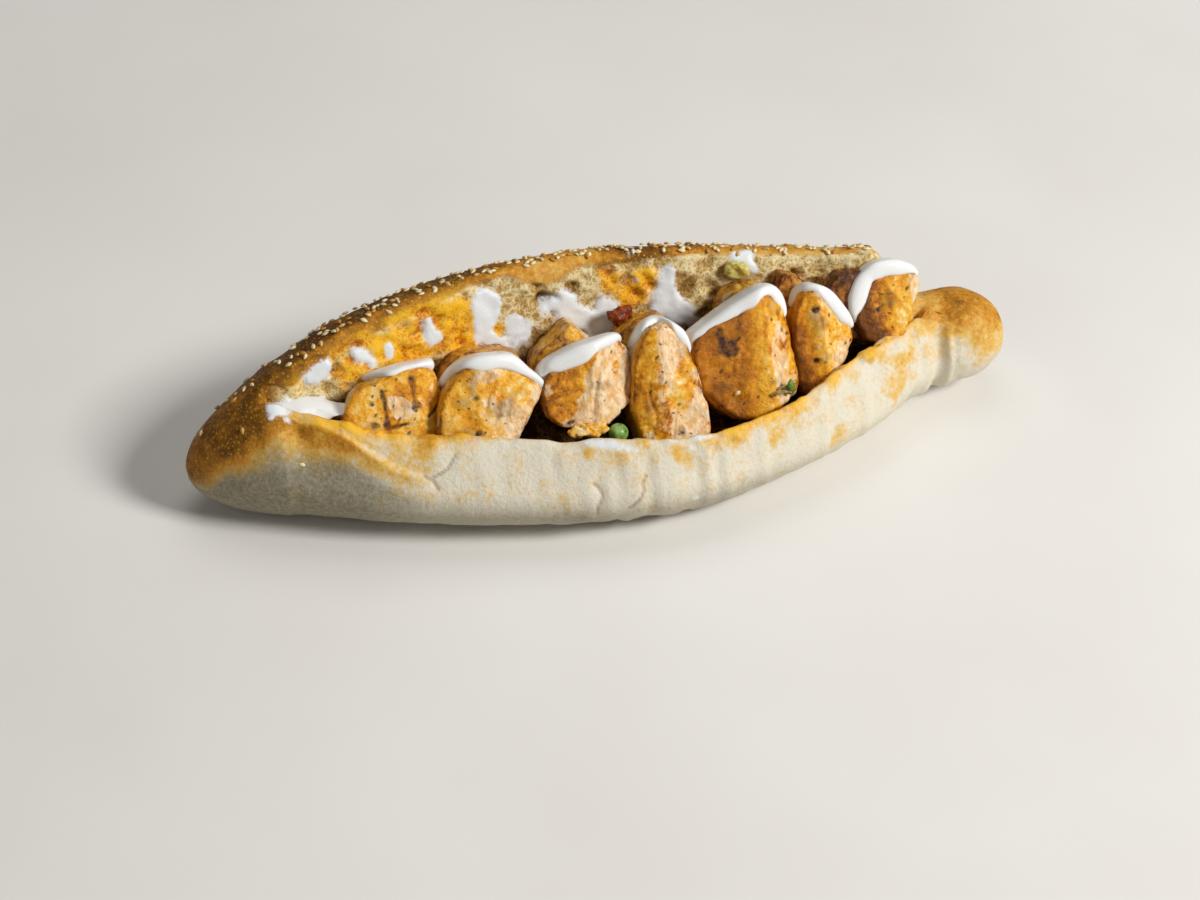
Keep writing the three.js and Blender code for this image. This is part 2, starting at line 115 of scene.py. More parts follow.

# Chunks of chicken, as in the solid: centre, depth, where the front's two faces meet, how far the left
# and the right one are turned aside in degrees, and the outline's corners across and up. Then the look,
# for the left and the right face: how bare of marinade it is, and how yellow the marinade is, partly as
# painted shade on the left face and painted light on the right. Vary is how
# uneven the left face's marinade is, and char how charred the chunk. Meet is the line between the two
# looks, as its place across and its slant. Marks are burnt and panes bare, as across, up and radius;
# strokes are burnt by the grill, as two ends and half a width; a bare strip begins on the right at strip.
SHARPNESS = 22
FRONT_LEAN = 35
BACK_LEAN = 28
FRONT_CHUNKS = {
    "chicken_1": {
        "at": (-75.5, -8, 35.5), "depth": 24, "ridge": 8, "turn": (0, 25), "bare": (-0.35, -0.4),
        "tone": (0.55, 0.5), "char": 0.15, "meet": (8, 0), "marks": ((-8.6, 6, 1.0), (-8.2, -1.6, 1.3)),
        "panes": ((1.3, 3, 4.2),),
        "strokes": (
            (-4.6, 10, -4, -3.5, 1.0), (-4, -3.5, 3, -3, 0.9), (6.6, 13, 7.2, 3, 1.7),
            (11, -1.5, 14.5, 1.5, 0.7),
        ),
        "outline": (
            (-18, 6), (-12.5, 12.5), (9, 17), (14.5, 16.5), (16.5, 8), (13, -10), (9, -16), (-14, -11),
            (-20, -1),
        ),
    },
    "chicken_2": {
        "at": (-44, -14.5, 36.5), "depth": 25, "ridge": 4, "turn": (5, 12), "bare": (-0.45, 0.2),
        "tone": (0.4, 0.65), "char": 0.1, "meet": (1, 0), "marks": ((-5, -6.5, 2.0), (-4, 6, 1.3)),
        "outline": (
            (-19, -6), (-16, 8), (-9, 16.5), (-3, 19), (10, 18), (21, 6), (10, -11), (5, -17), (-17, -13),
        ),
    },
    "chicken_3": {
        "at": (-7, -13, 38.5), "depth": 26, "ridge": 3, "turn": (12, 25), "bare": (-0.5, 0.9),
        "tone": (-0.25, 0.3), "char": 0.1, "meet": (-3.5, 0.6), "marks": ((-6, 1, 1.2), (-8, -10, 1.4)),
        "outline": (
            (-17.5, 0), (-16.5, 6), (-12, 12), (-6, 14), (10, 17.5), (13.5, 16.5), (17, 7), (14.5, -6.5),
            (6, -13), (-6, -13.5), (-15, -8.5),
        ),
    },
    "chicken_4": {
        "at": (21, -20, 34.5), "depth": 24, "ridge": -2, "turn": (20, 12), "bare": (0.1, 0.35),
        "tone": (0.3, 0.45), "char": 0.1, "meet": (-2, 0), "marks": ((2, -12, 2.2), (2.5, -2, 1.3)),
        "outline": (
            (-14, 1), (-10.5, 18), (-7, 25), (-2, 28), (2, 27.5), (8, 21.5), (11, 10), (13.5, -6),
            (13, -17), (6, -22), (-11, -17),
        ),
    },
    "chicken_5": {
        "at": (53, -12, 37.5), "depth": 28, "ridge": 6, "turn": (12, 35), "bare": (-1.2, 0.12),
        "vary": 0.45, "tone": (-0.35, 0.55), "char": 0.0, "meet": (5.5, 0.05),
        "marks": (
            (-7, 9, 4.0), (11.5, 17.5, 0.8), (13, 14.5, 0.9), (11.8, 11, 0.7), (14.2, 10, 0.8),
            (13.2, 6.5, 0.7),
        ),
        "outline": (
            (-21.5, 4), (-20, 13), (6.5, 27), (10.5, 26.5), (14.3, 22), (18, -7), (15, -13), (0, -19),
            (-8, -19), (-15, -13), (-21, -4),
        ),
    },
    "chicken_6": {
        "at": (81, -5.5, 36), "depth": 22, "ridge": 1, "turn": (20, 25), "bare": (-1.2, 0.42), "vary": 0.6,
        "tone": (-0.85, 0.62), "char": 0.0, "meet": (-1, -0.14), "marks": ((-3, -5, 1.4), (-1, 14, 1.8)),
        "outline": (
            (-9, 9), (-5.5, 19.5), (-2.5, 22), (2, 21), (6, 18), (13.8, 3.5), (11.5, -3), (0, -18),
            (-6, -20), (-9, -17), (-10, 0),
        ),
    },
    "chicken_7": {
        "at": (109.5, 3, 40.5), "depth": 18, "ridge": 0, "turn": (5, 5), "bare": (-1.0, -0.5),
        "tone": (-1.3, 0.5), "char": 0.25, "meet": (0.5, -0.1), "strip": 9,
        "marks": ((-3.5, 2, 1.8), (-2.5, -8, 2.4)),
        "outline": (
            (-13.2, 0), (-13, 6.5), (-10, 12.5), (-4, 16.5), (4, 17), (11, 13.5), (13, 9), (5, -9),
            (0, -13), (-10, -10),
        ),
    },
}
BACK_CHUNKS = {
    "chicken_back_1": {
        "at": (-42.5, 4, 38.5), "depth": 16, "ridge": 0, "turn": (10, 10), "bare": (-0.5, -0.5),
        "tone": (0.2, 0.2), "char": 0.2,
        "outline": ((-15, 2), (-11, 7), (-4, 10), (9, 8), (15, 5), (14, -5), (6, -12), (-13, -12)),
    },
    "chicken_back_2": {
        "at": (-9, 5.5, 37), "depth": 16, "ridge": -2, "turn": (15, 10), "bare": (-0.5, -0.4),
        "tone": (0.3, 0.4), "char": 0.1,
        "outline": ((-15, 0), (-12, 5), (1, 15), (5, 11), (14, 1), (13, -9), (-4, -14), (-14, -9)),
    },
    "chicken_back_3": {
        "at": (19, 6, 40), "depth": 14, "ridge": 0, "turn": (10, 10), "bare": (-0.6, -0.6),
        "tone": (0.2, 0.3), "char": 0.2,
        "outline": ((-11, 4), (-7, 8), (0, 10), (7, 10), (11, 4), (9, -12), (-2, -14), (-10, -8)),
    },
    "chicken_back_4": {
        "at": (57.5, 9, 44), "depth": 15, "ridge": 0, "turn": (10, 10), "bare": (-0.5, -0.5),
        "tone": (0.2, 0.3), "char": 0.2,
        "outline": ((-11, 0), (-6, 9), (-1, 11), (8, 10), (12, 6), (9, -10), (-1, -16), (-10, -12)),
    },
    "chicken_back_5": {
        "at": (75, 10.5, 46.5), "depth": 11, "ridge": 0, "turn": (15, 15), "bare": (-0.9, -0.9),
        "tone": (-0.3, -0.2), "char": 0.5,
        "outline": ((-6, 3), (-3, 11), (4, 8), (7, 4), (6, -6), (2, -13), (-5, -10)),
    },
    "chicken_back_6": {
        "at": (96.5, 7, 45.5), "depth": 13, "ridge": 0, "turn": (15, 10), "bare": (-0.9, -0.9),
        "tone": (-0.8, -0.7), "char": 0.4,
        "outline": ((-9, 4), (-4, 11), (5, 11), (10, 6), (7, -6), (2, -15), (-7, -13)),
    },
}

# Thick sauce over each front chunk: places on the chunk's upper rim as an angle from its right side,
# an angle towards the front, and the sauce's half width there. The angles are seen from BEAD_LEAN
# degrees above the front, half widths become angles at BEAD_REACH from the chunk's centre, and the
# sauce's lower half lies BEAD_SUNK deep in the chunk.
BEAD_LEAN = 32
BEAD_REACH = 15.0
BEAD_SUNK = 1.6
SAUCE_PATHS = {
    "chicken_1": (
        (127, -16, 1.8), (112, 2, 4.0), (98, 12, 5.6), (80, 12, 5.8), (64, 10, 5.0), (52, 8, 4.0),
        (44, 13, 2.4),
    ),
    "chicken_2": (
        (152, -20, 2.4), (139, -8, 3.5), (125, -3, 3.9), (115, 5, 5.0), (94, 12, 5.9), (69, 13, 5.6),
        (50, 14, 4.3), (38, 15, 3.0), (26, 15, 2.0), (16, 17, 1.4),
    ),
    "chicken_3": (
        (164, -22, 2.8), (156, -1, 5.4), (146, 5, 6.6), (137, 10, 7.6), (115, 15, 8.0), (94, 16, 7.9),
        (77, 16, 6.7), (64, 13, 5.0), (54, 10, 3.4), (47, 9, 1.8),
    ),
    "chicken_4": (
        (119, -15, 2.8), (109, -3, 3.5), (100, -1, 3.2), (90, -5, 2.5), (82, 9, 2.6), (75, 13, 2.5),
        (68, 16, 2.2), (60, 21, 1.5),
    ),
    "chicken_5": (
        (165, -12, 3.4), (156, -3, 4.4), (144, 1, 5.0), (131, 3, 5.5), (109, 6, 5.8), (93, 7, 5.6),
        (83, 8, 5.2), (76, 8, 4.3), (70, 9, 3.1), (63, 12, 2.2), (55, 13, 1.6), (47, 15, 1.2),
    ),
    "chicken_6": (
        (122, -26, 2.2), (113, -13, 3.0), (106, -4, 3.7), (100, 3, 4.0), (94, 8, 3.8), (86, 14, 3.3),
        (75, 17, 3.2), (59, 19, 3.2), (44, 19, 3.1), (32, 17, 2.5), (21, 17, 1.5),
    ),
    "chicken_7": (
        (194, 7, 4.2), (185, 6, 5.6), (167, 8, 7.2), (145, 9, 7.5), (123, 8, 6.7), (112, 7, 5.9),
        (98, 8, 5.9), (76, 9, 5.5), (62, 10, 4.5), (51, 14, 2.8), (44, 18, 1.7),
    ),
}

# Sauce run together in the end of the cut: centre, size and turn about the vertical
SAUCE_POOL = ((-108, -6, 43), (34, 15, 9), -12)

# Scraps: the piece and its slot; centre, size and turn about the vertical; how high the broad and the
# fine lumps are; how square the form is, where 2 is an ellipsoid; and the finish's name, the colours it
# takes, its grain and its roughness. The shred has a finer grid and the chicken's finish, whose fields
# it sets. The stems run from their starts to their ends in a low arch.
SCRAPS = {
    "pea": {
        "piece": "pea_green", "slot": "green_vegetable", "at": (0.5, -33.5, 33.5), "size": (7, 7, 7),
        "turn": 0, "lumps": (0.12, 0.05), "finish": ("Cooked pea", "pea", 3.4, 0.3),
    },
    "chicken_shred": {
        "piece": "shred", "slot": "chicken", "at": (-9.5, -31.5, 35), "size": (15, 5, 4),
        "turn": -8, "lumps": (1.0, 0.8), "grid": (48, 60),
        "fields": {"tone": 0.8, "flesh": 0.45, "vary": 1.0},
    },
    "pepper_scrap": {
        "piece": "pepper_bit", "slot": "red_pepper", "at": (11, 13, 48), "size": (8, 5, 5),
        "turn": 20, "lumps": (2.3, 0.7), "square": 3.0, "finish": ("Roasted red pepper", "pepper", 2, 0.35),
    },
    "pickle_scrap": {
        "piece": "pickle_bit", "slot": "pickle", "at": (57.5, 20, 56), "size": (8, 5, 7),
        "turn": -15, "lumps": (1.5, 0.6), "square": 2.6, "finish": ("Pickled cucumber", "pickle", 3, 0.35),
    },
    "green_scrap": {
        "piece": "green_bit", "slot": "green_vegetable", "at": (65, -28.5, 38.5), "size": (3.6, 3, 6.4),
        "turn": 30, "lumps": (0.6, 0.3), "finish": ("Cooked herb leaf", "herb", 2, 0.45),
    },
}
SCRAP_GRID = (36, 48)
POOL_GRID = (60, 60)
STEM_STARTS = ((57, -29.5, 36.5), (58.5, -30.5, 37), (60, -29, 38))
STEM_ENDS = ((63, -30.6, 38.5), (65, -30.6, 37.4), (66.5, -29, 40.5))
STEM_ARCH = 0.9

# Noise seeds: a group's pieces count on from its number. Each chunk and scrap reads its noise NOISE_STEP
# further off than the one before.
FRONT_SEED, BACK_SEED, SAUCE_SEED, SCRAP_SEED = 20, 40, 60, 70
NOISE_STEP = 40.0

# Sesame: the stations and parts that it is strewn over, where it is thin and grows dense, and where it
# stops; the scatter's even steps and how far it is shaken; a unit seed's girth, and how high its middle
# lies; the starts of the random draws. Stray seeds are on the crust as station and part, and on a chunk
# as its name and a place on its front.
SEED_STATIONS = (-145, 108)
SEED_PARTS = (7.4, 9.6)
SEED_DENSER = (-150, -95)
SEED_STOP = 109
EVEN_STEPS = (0.7548777, 0.5698403)
SEED_SHAKE = (2.5, 0.06)
STREWN_DICE, STUCK_DICE = 7, 11
SEED_GIRTH = 0.88
SEED_LIFT = 0.6
STRAY_SEEDS = ((-129.4, 0.56), (-111.1, 1.22))
STUCK_SEED = ("chicken_5", (-7, -11.2, -8.7))

# Spots on the loaf as station, part and radius: sauce smeared on the crumb and about the end of the cut,
# holes in it, oil and marinade in the crumb and on the lip, toasted patches, and large pores
SAUCE_SMEARS = (
    (-36, 10.17, 4.5), (-37, 10.35, 5), (-35, 10.52, 5), (-38, 10.64, 4.5), (-37, 10.81, 5),
    (-33, 10.93, 4.5), (-26, 10.71, 4.5), (-22, 10.81, 4.5), (-25, 10.91, 5), (-28, 10.58, 3.5),
    (-34, 10.31, 4), (-14, 10.54, 3.5), (-9, 10.45, 4), (-5, 10.53, 3.5), (-9, 10.62, 5), (-5, 10.68, 5),
    (0, 10.86, 5), (5, 10.89, 5.5), (8, 11.0, 5), (0, 10.98, 4), (12, 10.68, 2.5), (8, 10.62, 4),
    (32, 10.19, 4), (32, 10.44, 5), (30, 10.63, 5.5), (34, 10.78, 5.5), (36, 10.94, 5), (27, 10.84, 4),
    (39, 10.99, 4), (63, 9.68, 3.5), (62, 9.96, 4), (64, 10.15, 3), (58, 9.74, 2.2), (-100, 10.28, 3.8),
    (-97, 10.27, 3.2), (-104, 10.29, 2.6), (-86, 10.29, 3.2), (-83, 10.42, 3.6), (-80, 10.56, 2.6),
    (-74, 10.42, 1.8), (-74, 10.51, 1.8), (-74, 10.57, 1.8), (-59, 10.33, 3.5), (-58, 10.48, 4),
    (-56, 10.58, 3), (-118, 0.28, 2.0), (-119.5, 0.5, 1.4), (-115, 0.1, 3.0), (-109, 10.66, 3.4),
    (-113, 10.62, 3.4), (-105, 10.7, 3), (-114, 0.4, 1.3), (-119, 0.1, 1.9), (-101, 10.8, 3),
    (-109, 10.8, 3.5), (-117, 12.5, 5), (3, 11.1, 5), (10, 11.15, 5), (-3, 11.1, 4),
)
SAUCE_GAPS = ((-33, 10.7, 2.6), (-31.3, 10.62, 2.2), (-29.5, 10.52, 2.6), (-32, 10.78, 1.8))
OIL_STAINS = (
    (-47, 10.61, 9), (-49, 10.38, 7), (-45, 10.29, 6), (-56, 10.48, 8), (-63, 10.57, 8), (-67, 10.44, 7),
    (-74, 10.5, 7), (-70, 10.63, 7), (-82, 10.37, 7), (-45, 10.79, 7), (-33, 10.71, 3), (-56, 10.22, 5),
    (-80, 10.18, 5), (-89, 10.5, 6), (12, 10.22, 4.5), (9, 10.36, 3), (13, 10.5, 4), (8, 10.16, 2),
    (22, 10.36, 6), (25, 10.25, 5), (22, 10.59, 5), (17, 10.54, 5), (114, 11.0, 8), (108, 11.3, 8),
    (122, 10.1, 5), (107, 11.4, 6), (-103, 14.9, 8), (-95, 14.95, 9), (-85, 14.95, 8), (-76, 14.95, 7),
    (99, 0.0, 4.5), (104, 0.05, 4.5), (109, 0.1, 4.5), (113.5, 0.2, 4),
)
TOASTED_PATCHES = (
    (58, 0.47, 5), (62, 0.36, 5), (67, 0.34, 5), (52, 0.07, 5), (72, 0.27, 5), (114, 1.02, 7),
    (106, 1.53, 7), (110, 1.3, 6), (81, 1.64, 5), (80, 1.77, 4), (55, 0.62, 4), (30, 0.23, 6),
    (20, 0.48, 6), (6, 0.29, 6), (39, 0.35, 5), (90, 0.44, 4), (98, 0.2, 6), (45, 0.2, 6), (82, 0.2, 5),
    (-4, 0.63, 5), (-14, 0.4, 5),
)
CAVITIES = ((-16, 10.42, 3.0), (-12.5, 10.47, 2.6), (-14, 10.55, 2.2), (47, 10.5, 2.5), (78, 10.2, 2.0))
# Lines on the loaf through stations and parts: thin sauce along the lip, cracks in the crust, and the
# edge of the baked-open score on the front leaf
LIP_SAUCE = (((-15, 0.02), (-9, 0.12), (-3, 0.2), (4, 0.3)), ((18, 14.95), (24, 0.0), (31, 0.02)))
CRACKS = (
    ((-12.4, 1.1), (-10.6, 1.22), (-9.8, 1.4), (-10.2, 1.55), (-11.8, 1.75), (-12.4, 2.0)),
    ((6.2, 0.98), (4.6, 1.18), (4.9, 1.38), (3.4, 1.6), (1.4, 1.74), (-1.0, 1.9)),
    ((-70, 1.05), (-67, 1.15), (-66, 1.35)),
    ((-58, 0.5), (-62, 0.85), (-68, 1.1)),
)
EAR_LINE = ((-121, 0.44), (-103, 0.21), (-95, 0.34), (-87.5, 0.65), (-80, 0.95), (-72, 1.09), (-66, 1.12))
# By station: the turn where browned crust ends on the front, the part where the back leaf's crust ends
# at the crumb, and how dark the crust is baked
FRONT_BROWN = (
    (-150, 17.3), (-145, 17.2), (-136, 16.5), (-124, 16.35), (-111, 16.1), (-101, 16.0), (-92, 16.05),
    (-80, 16.1), (-72, 16.2), (-64, 15.3), (-50, 14.85), (108, 14.9), (114, 15.45), (120, 15.9),
    (131, 16.35), (142, 16.8),
)
CRUMB_BORDER = (
    (-105, 10.23), (-89, 10.12), (-69, 10.08), (-57, 10.06), (-45, 9.89), (-38, 9.84), (-29, 9.78),
    (-22, 10.05), (-13, 10.2), (-7, 10.17), (-2, 10.0), (3, 9.92), (15, 9.96), (25, 9.86), (45, 9.7),
    (69, 9.6), (98, 9.6), (105, 9.35), (112, 9.0),
)
TOAST_LEVEL = (
    (-151, 0.64), (-130, 0.66), (-100, 0.7), (-60, 0.64), (-42, 0.64), (-30, 0.52), (-14, 0.42), (6, 0.5),
    (14, 0.8), (24, 0.92), (34, 0.66), (60, 0.42), (100, 0.4), (114, 0.34), (124, 0.34), (136, 0.52),
    (146, 0.5), (154, 0.44),
)

# The numbers that the meshes carry for their materials
BREAD_FIELDS = ("toast", "crumb", "pore", "oil", "cream", "crack", "dust")
CHUNK_FIELDS = ("flesh", "char", "edge", "tone", "vary")

# Stage: half the floor's side, each light's place and side, and what the lights aim at, all in metres;
# each light's power in watts; the surround's strength; the camera's azimuth and height in degrees, its
# aim in millimetres to the right of and above the loaf's own origin, its sensor's width in millimetres,
# and how far it sees in metres
FLOOR_HALF = 4.0
LIGHTS = {
    "key": ((1.35, -0.95, 1.35), 0.55, 44),
    "fill": ((-0.9, -0.9, 0.8), 1.2, 2.4),
    "top": ((0.1, 0.5, 1.2), 0.9, 4),
}
LIGHT_AIM = (0, 0, 0.03)
SURROUND = 0.1
VIEW = (-13, 42)
VIEW_AIM = (1.48, -2.96)
SENSOR_WIDTH = 36
VIEW_END = 20


def linear(code):
    """An sRGB hex colour as linear red, green and blue."""
    channels = np.array([int(code[k:k + 2], 16) for k in (1, 3, 5)]) / 255
    return tuple(np.where(channels <= 0.04045, channels / 12.92, ((channels + 0.055) / 1.055) ** 2.4))


def fade(value, low, high):
    """0 below low, 1 above high, and a smooth rise between them."""
    t = np.clip((value - low) / (high - low), 0, 1)
    return t * t * (3 - 2 * t)


def between(value, begin, full, end, gone):
    """0 before begin, 1 from full to end, 0 after gone, and smooth changes between them."""
    return fade(value, begin, full) * (1 - fade(value, end, gone))


def bell(value, width):
    """1 where the value is 0, falling on both sides by the bell curve of this width."""
    return np.exp(-((value / width) ** 2))


def mix(a, b, share):
    """From a to b by a share."""
    return a + (b - a) * share


def along(x, table):
    """A value read off a table of stations by straight lines between them."""
    stations, values = zip(*table)
    return np.interp(x, stations, values)


def hashed(cells, seed):
    """A repeatable number from 0 to 1 for each whole-number lattice cell: its three counts are
    multiplied by large odd numbers, added, and their bits folded over."""
    n = cells[..., 0] * 374761393 + cells[..., 1] * 668265263 + cells[..., 2] * 1440662683 + seed * 362437
    n = n & 0xFFFFFFFF
    n = ((n ^ (n >> 13)) * 1274126177) & 0xFFFFFFFF
    n = n ^ (n >> 16)
    return (n & 0xFFFF) / 0xFFFF


def lumps(points, cell, seed=0):
    """Smooth noise from -1 to 1: hashed values at the corners of a lattice of the given cell, one size
    or three, blended across each cell by smooth steps."""
    q = points / np.asarray(cell, float)
    base = np.floor(q).astype(np.int64)
    f = q - base
    f = f * f * (3 - 2 * f)
    total = np.zeros(points.shape[:-1])
    for corner in np.ndindex(2, 2, 2):
        weight = np.prod(np.where(np.array(corner, bool), f, 1 - f), axis=-1)
        total += weight * hashed(base + np.array(corner), seed)
    return 2 * total - 1


def bubbles(points, cell, seed=0):
    """Distance, in cells, to the nearest of points scattered one to a lattice cell, and that point's own
    hashed number."""
    q = points / cell
    base = np.floor(q).astype(np.int64)
    nearest = np.full(points.shape[:-1], 9.0)
    own = np.zeros(points.shape[:-1])
    for step in np.ndindex(3, 3, 3):
        neighbour = base + np.array(step) - 1
        spot = np.stack([hashed(neighbour, seed + k) for k in range(3)], axis=-1)
        distance = np.linalg.norm(q - neighbour - spot, axis=-1)
        closer = distance < nearest
        nearest = np.where(closer, distance, nearest)
        own = np.where(closer, hashed(neighbour, seed + 3), own)
    return nearest, own


def cubic(a, b, c, d, f):
    """The uniform Catmull-Rom cubic: from b at f = 0 to c at f = 1, with a before and d after them."""
    return 0.5 * (2 * b + (c - a) * f + (2 * a - 5 * b + 4 * c - d) * f**2 + (3 * b - a - 3 * c + d) * f**3)


def curve_through(points, t):
    """Points of a smooth open curve through the given ones, t running from 0 to the last one's index:
    the Catmull-Rom cubic, its end points doubled."""
    padded = np.concatenate([points[:1], points, points[-1:]])
    i = np.clip(np.floor(t).astype(int), 0, len(points) - 2)
    return cubic(*(padded[i + k] for k in range(4)), (t - i)[:, None])


def unit(vectors):
    """Vectors brought to length 1."""
    return vectors / np.maximum(np.linalg.norm(vectors, axis=-1, keepdims=True), 1e-9)


def normals_of(rings):
    """Unit normals of a grid of points, rows along and columns closing round: the cross product of its
    central differences."""
    lengthwise = np.gradient(rings, axis=0)
    around = np.roll(rings, -1, axis=1) - np.roll(rings, 1, axis=1)
    return unit(np.cross(around, lengthwise))


def circle(columns):
    """Angles of evenly spaced points round a circle."""
    return 2 * np.pi * np.arange(columns) / columns


def closed_mesh(name, rings, poles, fields=None):
    """A closed mesh from grids of points in millimetres, or from a stack of such grids: each ring closes
    round, neighbouring rings are joined by quads, and the first and last ring by a fan to its pole.
    Fields are per-point numbers on the grid, kept as mesh attributes; a pole takes its ring's mean."""
    rings = np.asarray(rings, float).reshape(-1, *np.shape(rings)[-3:])
    poles = np.asarray(poles, float).reshape(-1, 2, 3)
    count, rows, columns = rings.shape[:3]
    points = np.concatenate([poles[:, :1], rings.reshape(count, -1, 3), poles[:, 1:]], axis=1)
    ring = np.arange(columns)
    after = np.roll(ring, -1)
    starts = 1 + columns * np.arange(rows - 1)[:, None]
    quads = np.stack([starts + ring, starts + after, starts + columns + after, starts + columns + ring], -1)
    last = 1 + columns * (rows - 1)
    first_fan = np.stack([np.zeros_like(ring), 1 + after, 1 + ring], -1)
    last_fan = np.stack([np.full_like(ring, last + columns), last + ring, last + after], -1)
    quads = quads.reshape(-1, 4)
    fans = np.concatenate([first_fan, last_fan])
    a, b, c, d = (points[0][quads[:, k]] for k in range(4))
    if np.einsum("ij,ij->i", a, np.cross(b, c) + np.cross(c, d)).sum() < 0:
        quads, fans = quads[:, ::-1], fans[:, ::-1]
    shift = points.shape[1] * np.arange(count)[:, None, None]
    faces = (quads + shift).reshape(-1, 4).tolist() + (fans + shift).reshape(-1, 3).tolist()
    mesh = bpy.data.meshes.new(name)
    mesh.from_pydata((points.reshape(-1, 3) + PLAN_OFFSET) * MM, [], faces)
    mesh.polygons.foreach_set("use_smooth", np.ones(len(faces), bool))
    for field, values in (fields or {}).items():
        values = np.broadcast_to(values, rings.shape[:3])
        ends = values[:, :1].mean(axis=2), values[:, -1:].mean(axis=2)
        flat = np.concatenate([ends[0], values.reshape(count, -1), ends[1]], axis=1)
        stored = mesh.attributes.new(field, "FLOAT", "POINT").data
        stored.foreach_set("value", flat.ravel().astype(np.float32))
    mesh.validate()
    mesh.update()
    return mesh


def add_piece(name, mesh, material, slot, *nodes):
    """Links a finished mesh as a piece that rides on the loaf and stands for the named nodes."""
    mesh.materials.append(material)
    piece = bpy.data.objects.new(name, mesh)
    bpy.context.scene.collection.objects.link(piece)
    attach(piece, BODY)
    if nodes:
        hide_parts(*nodes)


def loaf_measures(x):
    """The loaf's nine offsets at stations x: a cubic through the table whose slope at each row is that
    between its neighbours."""
    stations, rows = OFFSETS[:, 0], OFFSETS[:, 1:]
    x = np.clip(x, stations[0], stations[-1])
    after = np.clip(np.searchsorted(stations, x, side="right"), 1, len(stations) - 1)
    before = after - 1
    earlier = np.where(before > 0, before - 1, after)
    later = np.where(after < len(stations) - 1, after + 1, before)
    span = stations[after] - stations[before]
    p = (x - stations[before]) / span
    pull_in = span / 2 / (stations[before] - stations[earlier])
    pull_out = span / 2 / (stations[later] - stations[after])
    w_earlier = -pull_in * p**3 + 2 * pull_in * p**2 - pull_in * p
    w_before = (1 + pull_in) * p**3 - (1.5 + 2 * pull_in) * p**2 + (pull_in - 0.5) * p + 1
    w_after = -(1 + pull_out) * p**3 + (1.5 + pull_out) * p**2 + 0.5 * p
    w_later = pull_out * p**3 - pull_out * p**2
    weights = ((w_earlier, earlier), (w_before, before), (w_after, after), (w_later, later))
    return sum(w[:, None] * rows[i] for w, i in weights).T


def cut_share(x):
    """0 where the loaf is whole, 1 where it is open."""
    return between(x, CUT["from"], CUT["from"] + CUT["open_over"], CUT["to"] - CUT["open_over"], CUT["to"])


def section_controls(x):
    """The section's control points at stations x, across and height: a circle's where the loaf is whole,
    the opened leaves' where it is cut, drawn in towards the centre at the two ends."""
    middle, radius, centre, front, lip_y, lip_z, crown_y, crown_z, back = loaf_measures(x)
    crease = CREASE["depth"] * bell(x - CREASE["x"], CREASE["width"])
    floor = np.full_like(x, CUT["floor"])
    base = np.zeros_like(x)
    opened = np.array([
        (lip_y, lip_z), (mix(front, lip_y, 0.38), lip_z - 9), (front, 0.46 * lip_z),
        (front + 9, 0.12 * lip_z), (front + 24, base), (back - 24, base), (back - 8, 0.14 * crown_z),
        (back, 0.45 * crown_z), (mix(crown_y, back, 0.62), 0.85 * crown_z), (crown_y, crown_z),
        (crown_y - EDGE["across"], crown_z - EDGE["drop"]), (crown_y - 15, mix(floor, crown_z, 0.5)),
        (mix(front, crown_y, 0.66), floor + 3), (mix(front, crown_y, 0.36), floor), (lip_y + 5, lip_z - 8),
    ])
    centres = np.array([middle, centre])
    turned = np.stack([np.cos(ROUND_ANGLES), np.sin(ROUND_ANGLES)], -1)[..., None]
    points = mix(centres + radius * turned, opened, cut_share(x))
    points[:, 0] += np.maximum(-np.cos(ROUND_ANGLES), 0)[:, None] * crease
    blunt = np.clip((BLUNT_END[0] - x) / BLUNT_END[1], 0, 1)
    small = np.clip((x - SMALL_END[0]) / SMALL_END[1], 0, 1)
    return mix(centres, points, np.sqrt(1 - np.maximum(blunt, small**2)))


def loaf_surface(x, parts):
    """The loaf's smooth surface on a grid of stations and parts: closed Catmull-Rom curves through each
    station's control points, flat where they would pass below the base."""
    controls = section_controls(x)
    i = np.floor(parts).astype(int)
    curve = cubic(*(controls[(i + k) % PARTS] for k in (-1, 0, 1, 2)), (parts - i)[:, None, None])
    across, height = curve.transpose(1, 2, 0)
    return np.stack([np.broadcast_to(x[:, None], across.shape), across, np.maximum(height, 0)], -1)


def loaf_places(places):
    """Points of the smooth loaf at listed stations and parts."""
    places = np.asarray(places, float)
    return np.array([loaf_surface(p[:1], p[1:2])[0, 0] for p in places])


def spots(points, places):
    """How thickly some round spots lie over each point: each adds a bell curve of its own radius, so that
    neighbours run together; about 1 in a spot's middle, 0.3 at its rim."""
    places = np.asarray(places, float)
    cover = np.zeros(points.shape[:-1])
    for centre, radius in zip(loaf_places(places), places[:, 2]):
        cover += np.exp(-1.2 * ((points - centre) ** 2).sum(axis=-1) / radius**2)
    return np.minimum(cover, 1.4)


def line_distance(points, lines, samples=40):
    """Distance of each point from the nearest of some lines drawn on the loaf through listed places."""
    nearest = np.full(points.shape[:-1], 1e3)
    for line in lines:
        line = np.asarray(line, float)
        t = np.linspace(0, len(line) - 1, samples)
        places = np.stack([np.interp(t, np.arange(len(line)), column) for column in line.T], -1)
        for spot in loaf_places(places):
            nearest = np.minimum(nearest, np.linalg.norm(points - spot, axis=-1))
    return nearest


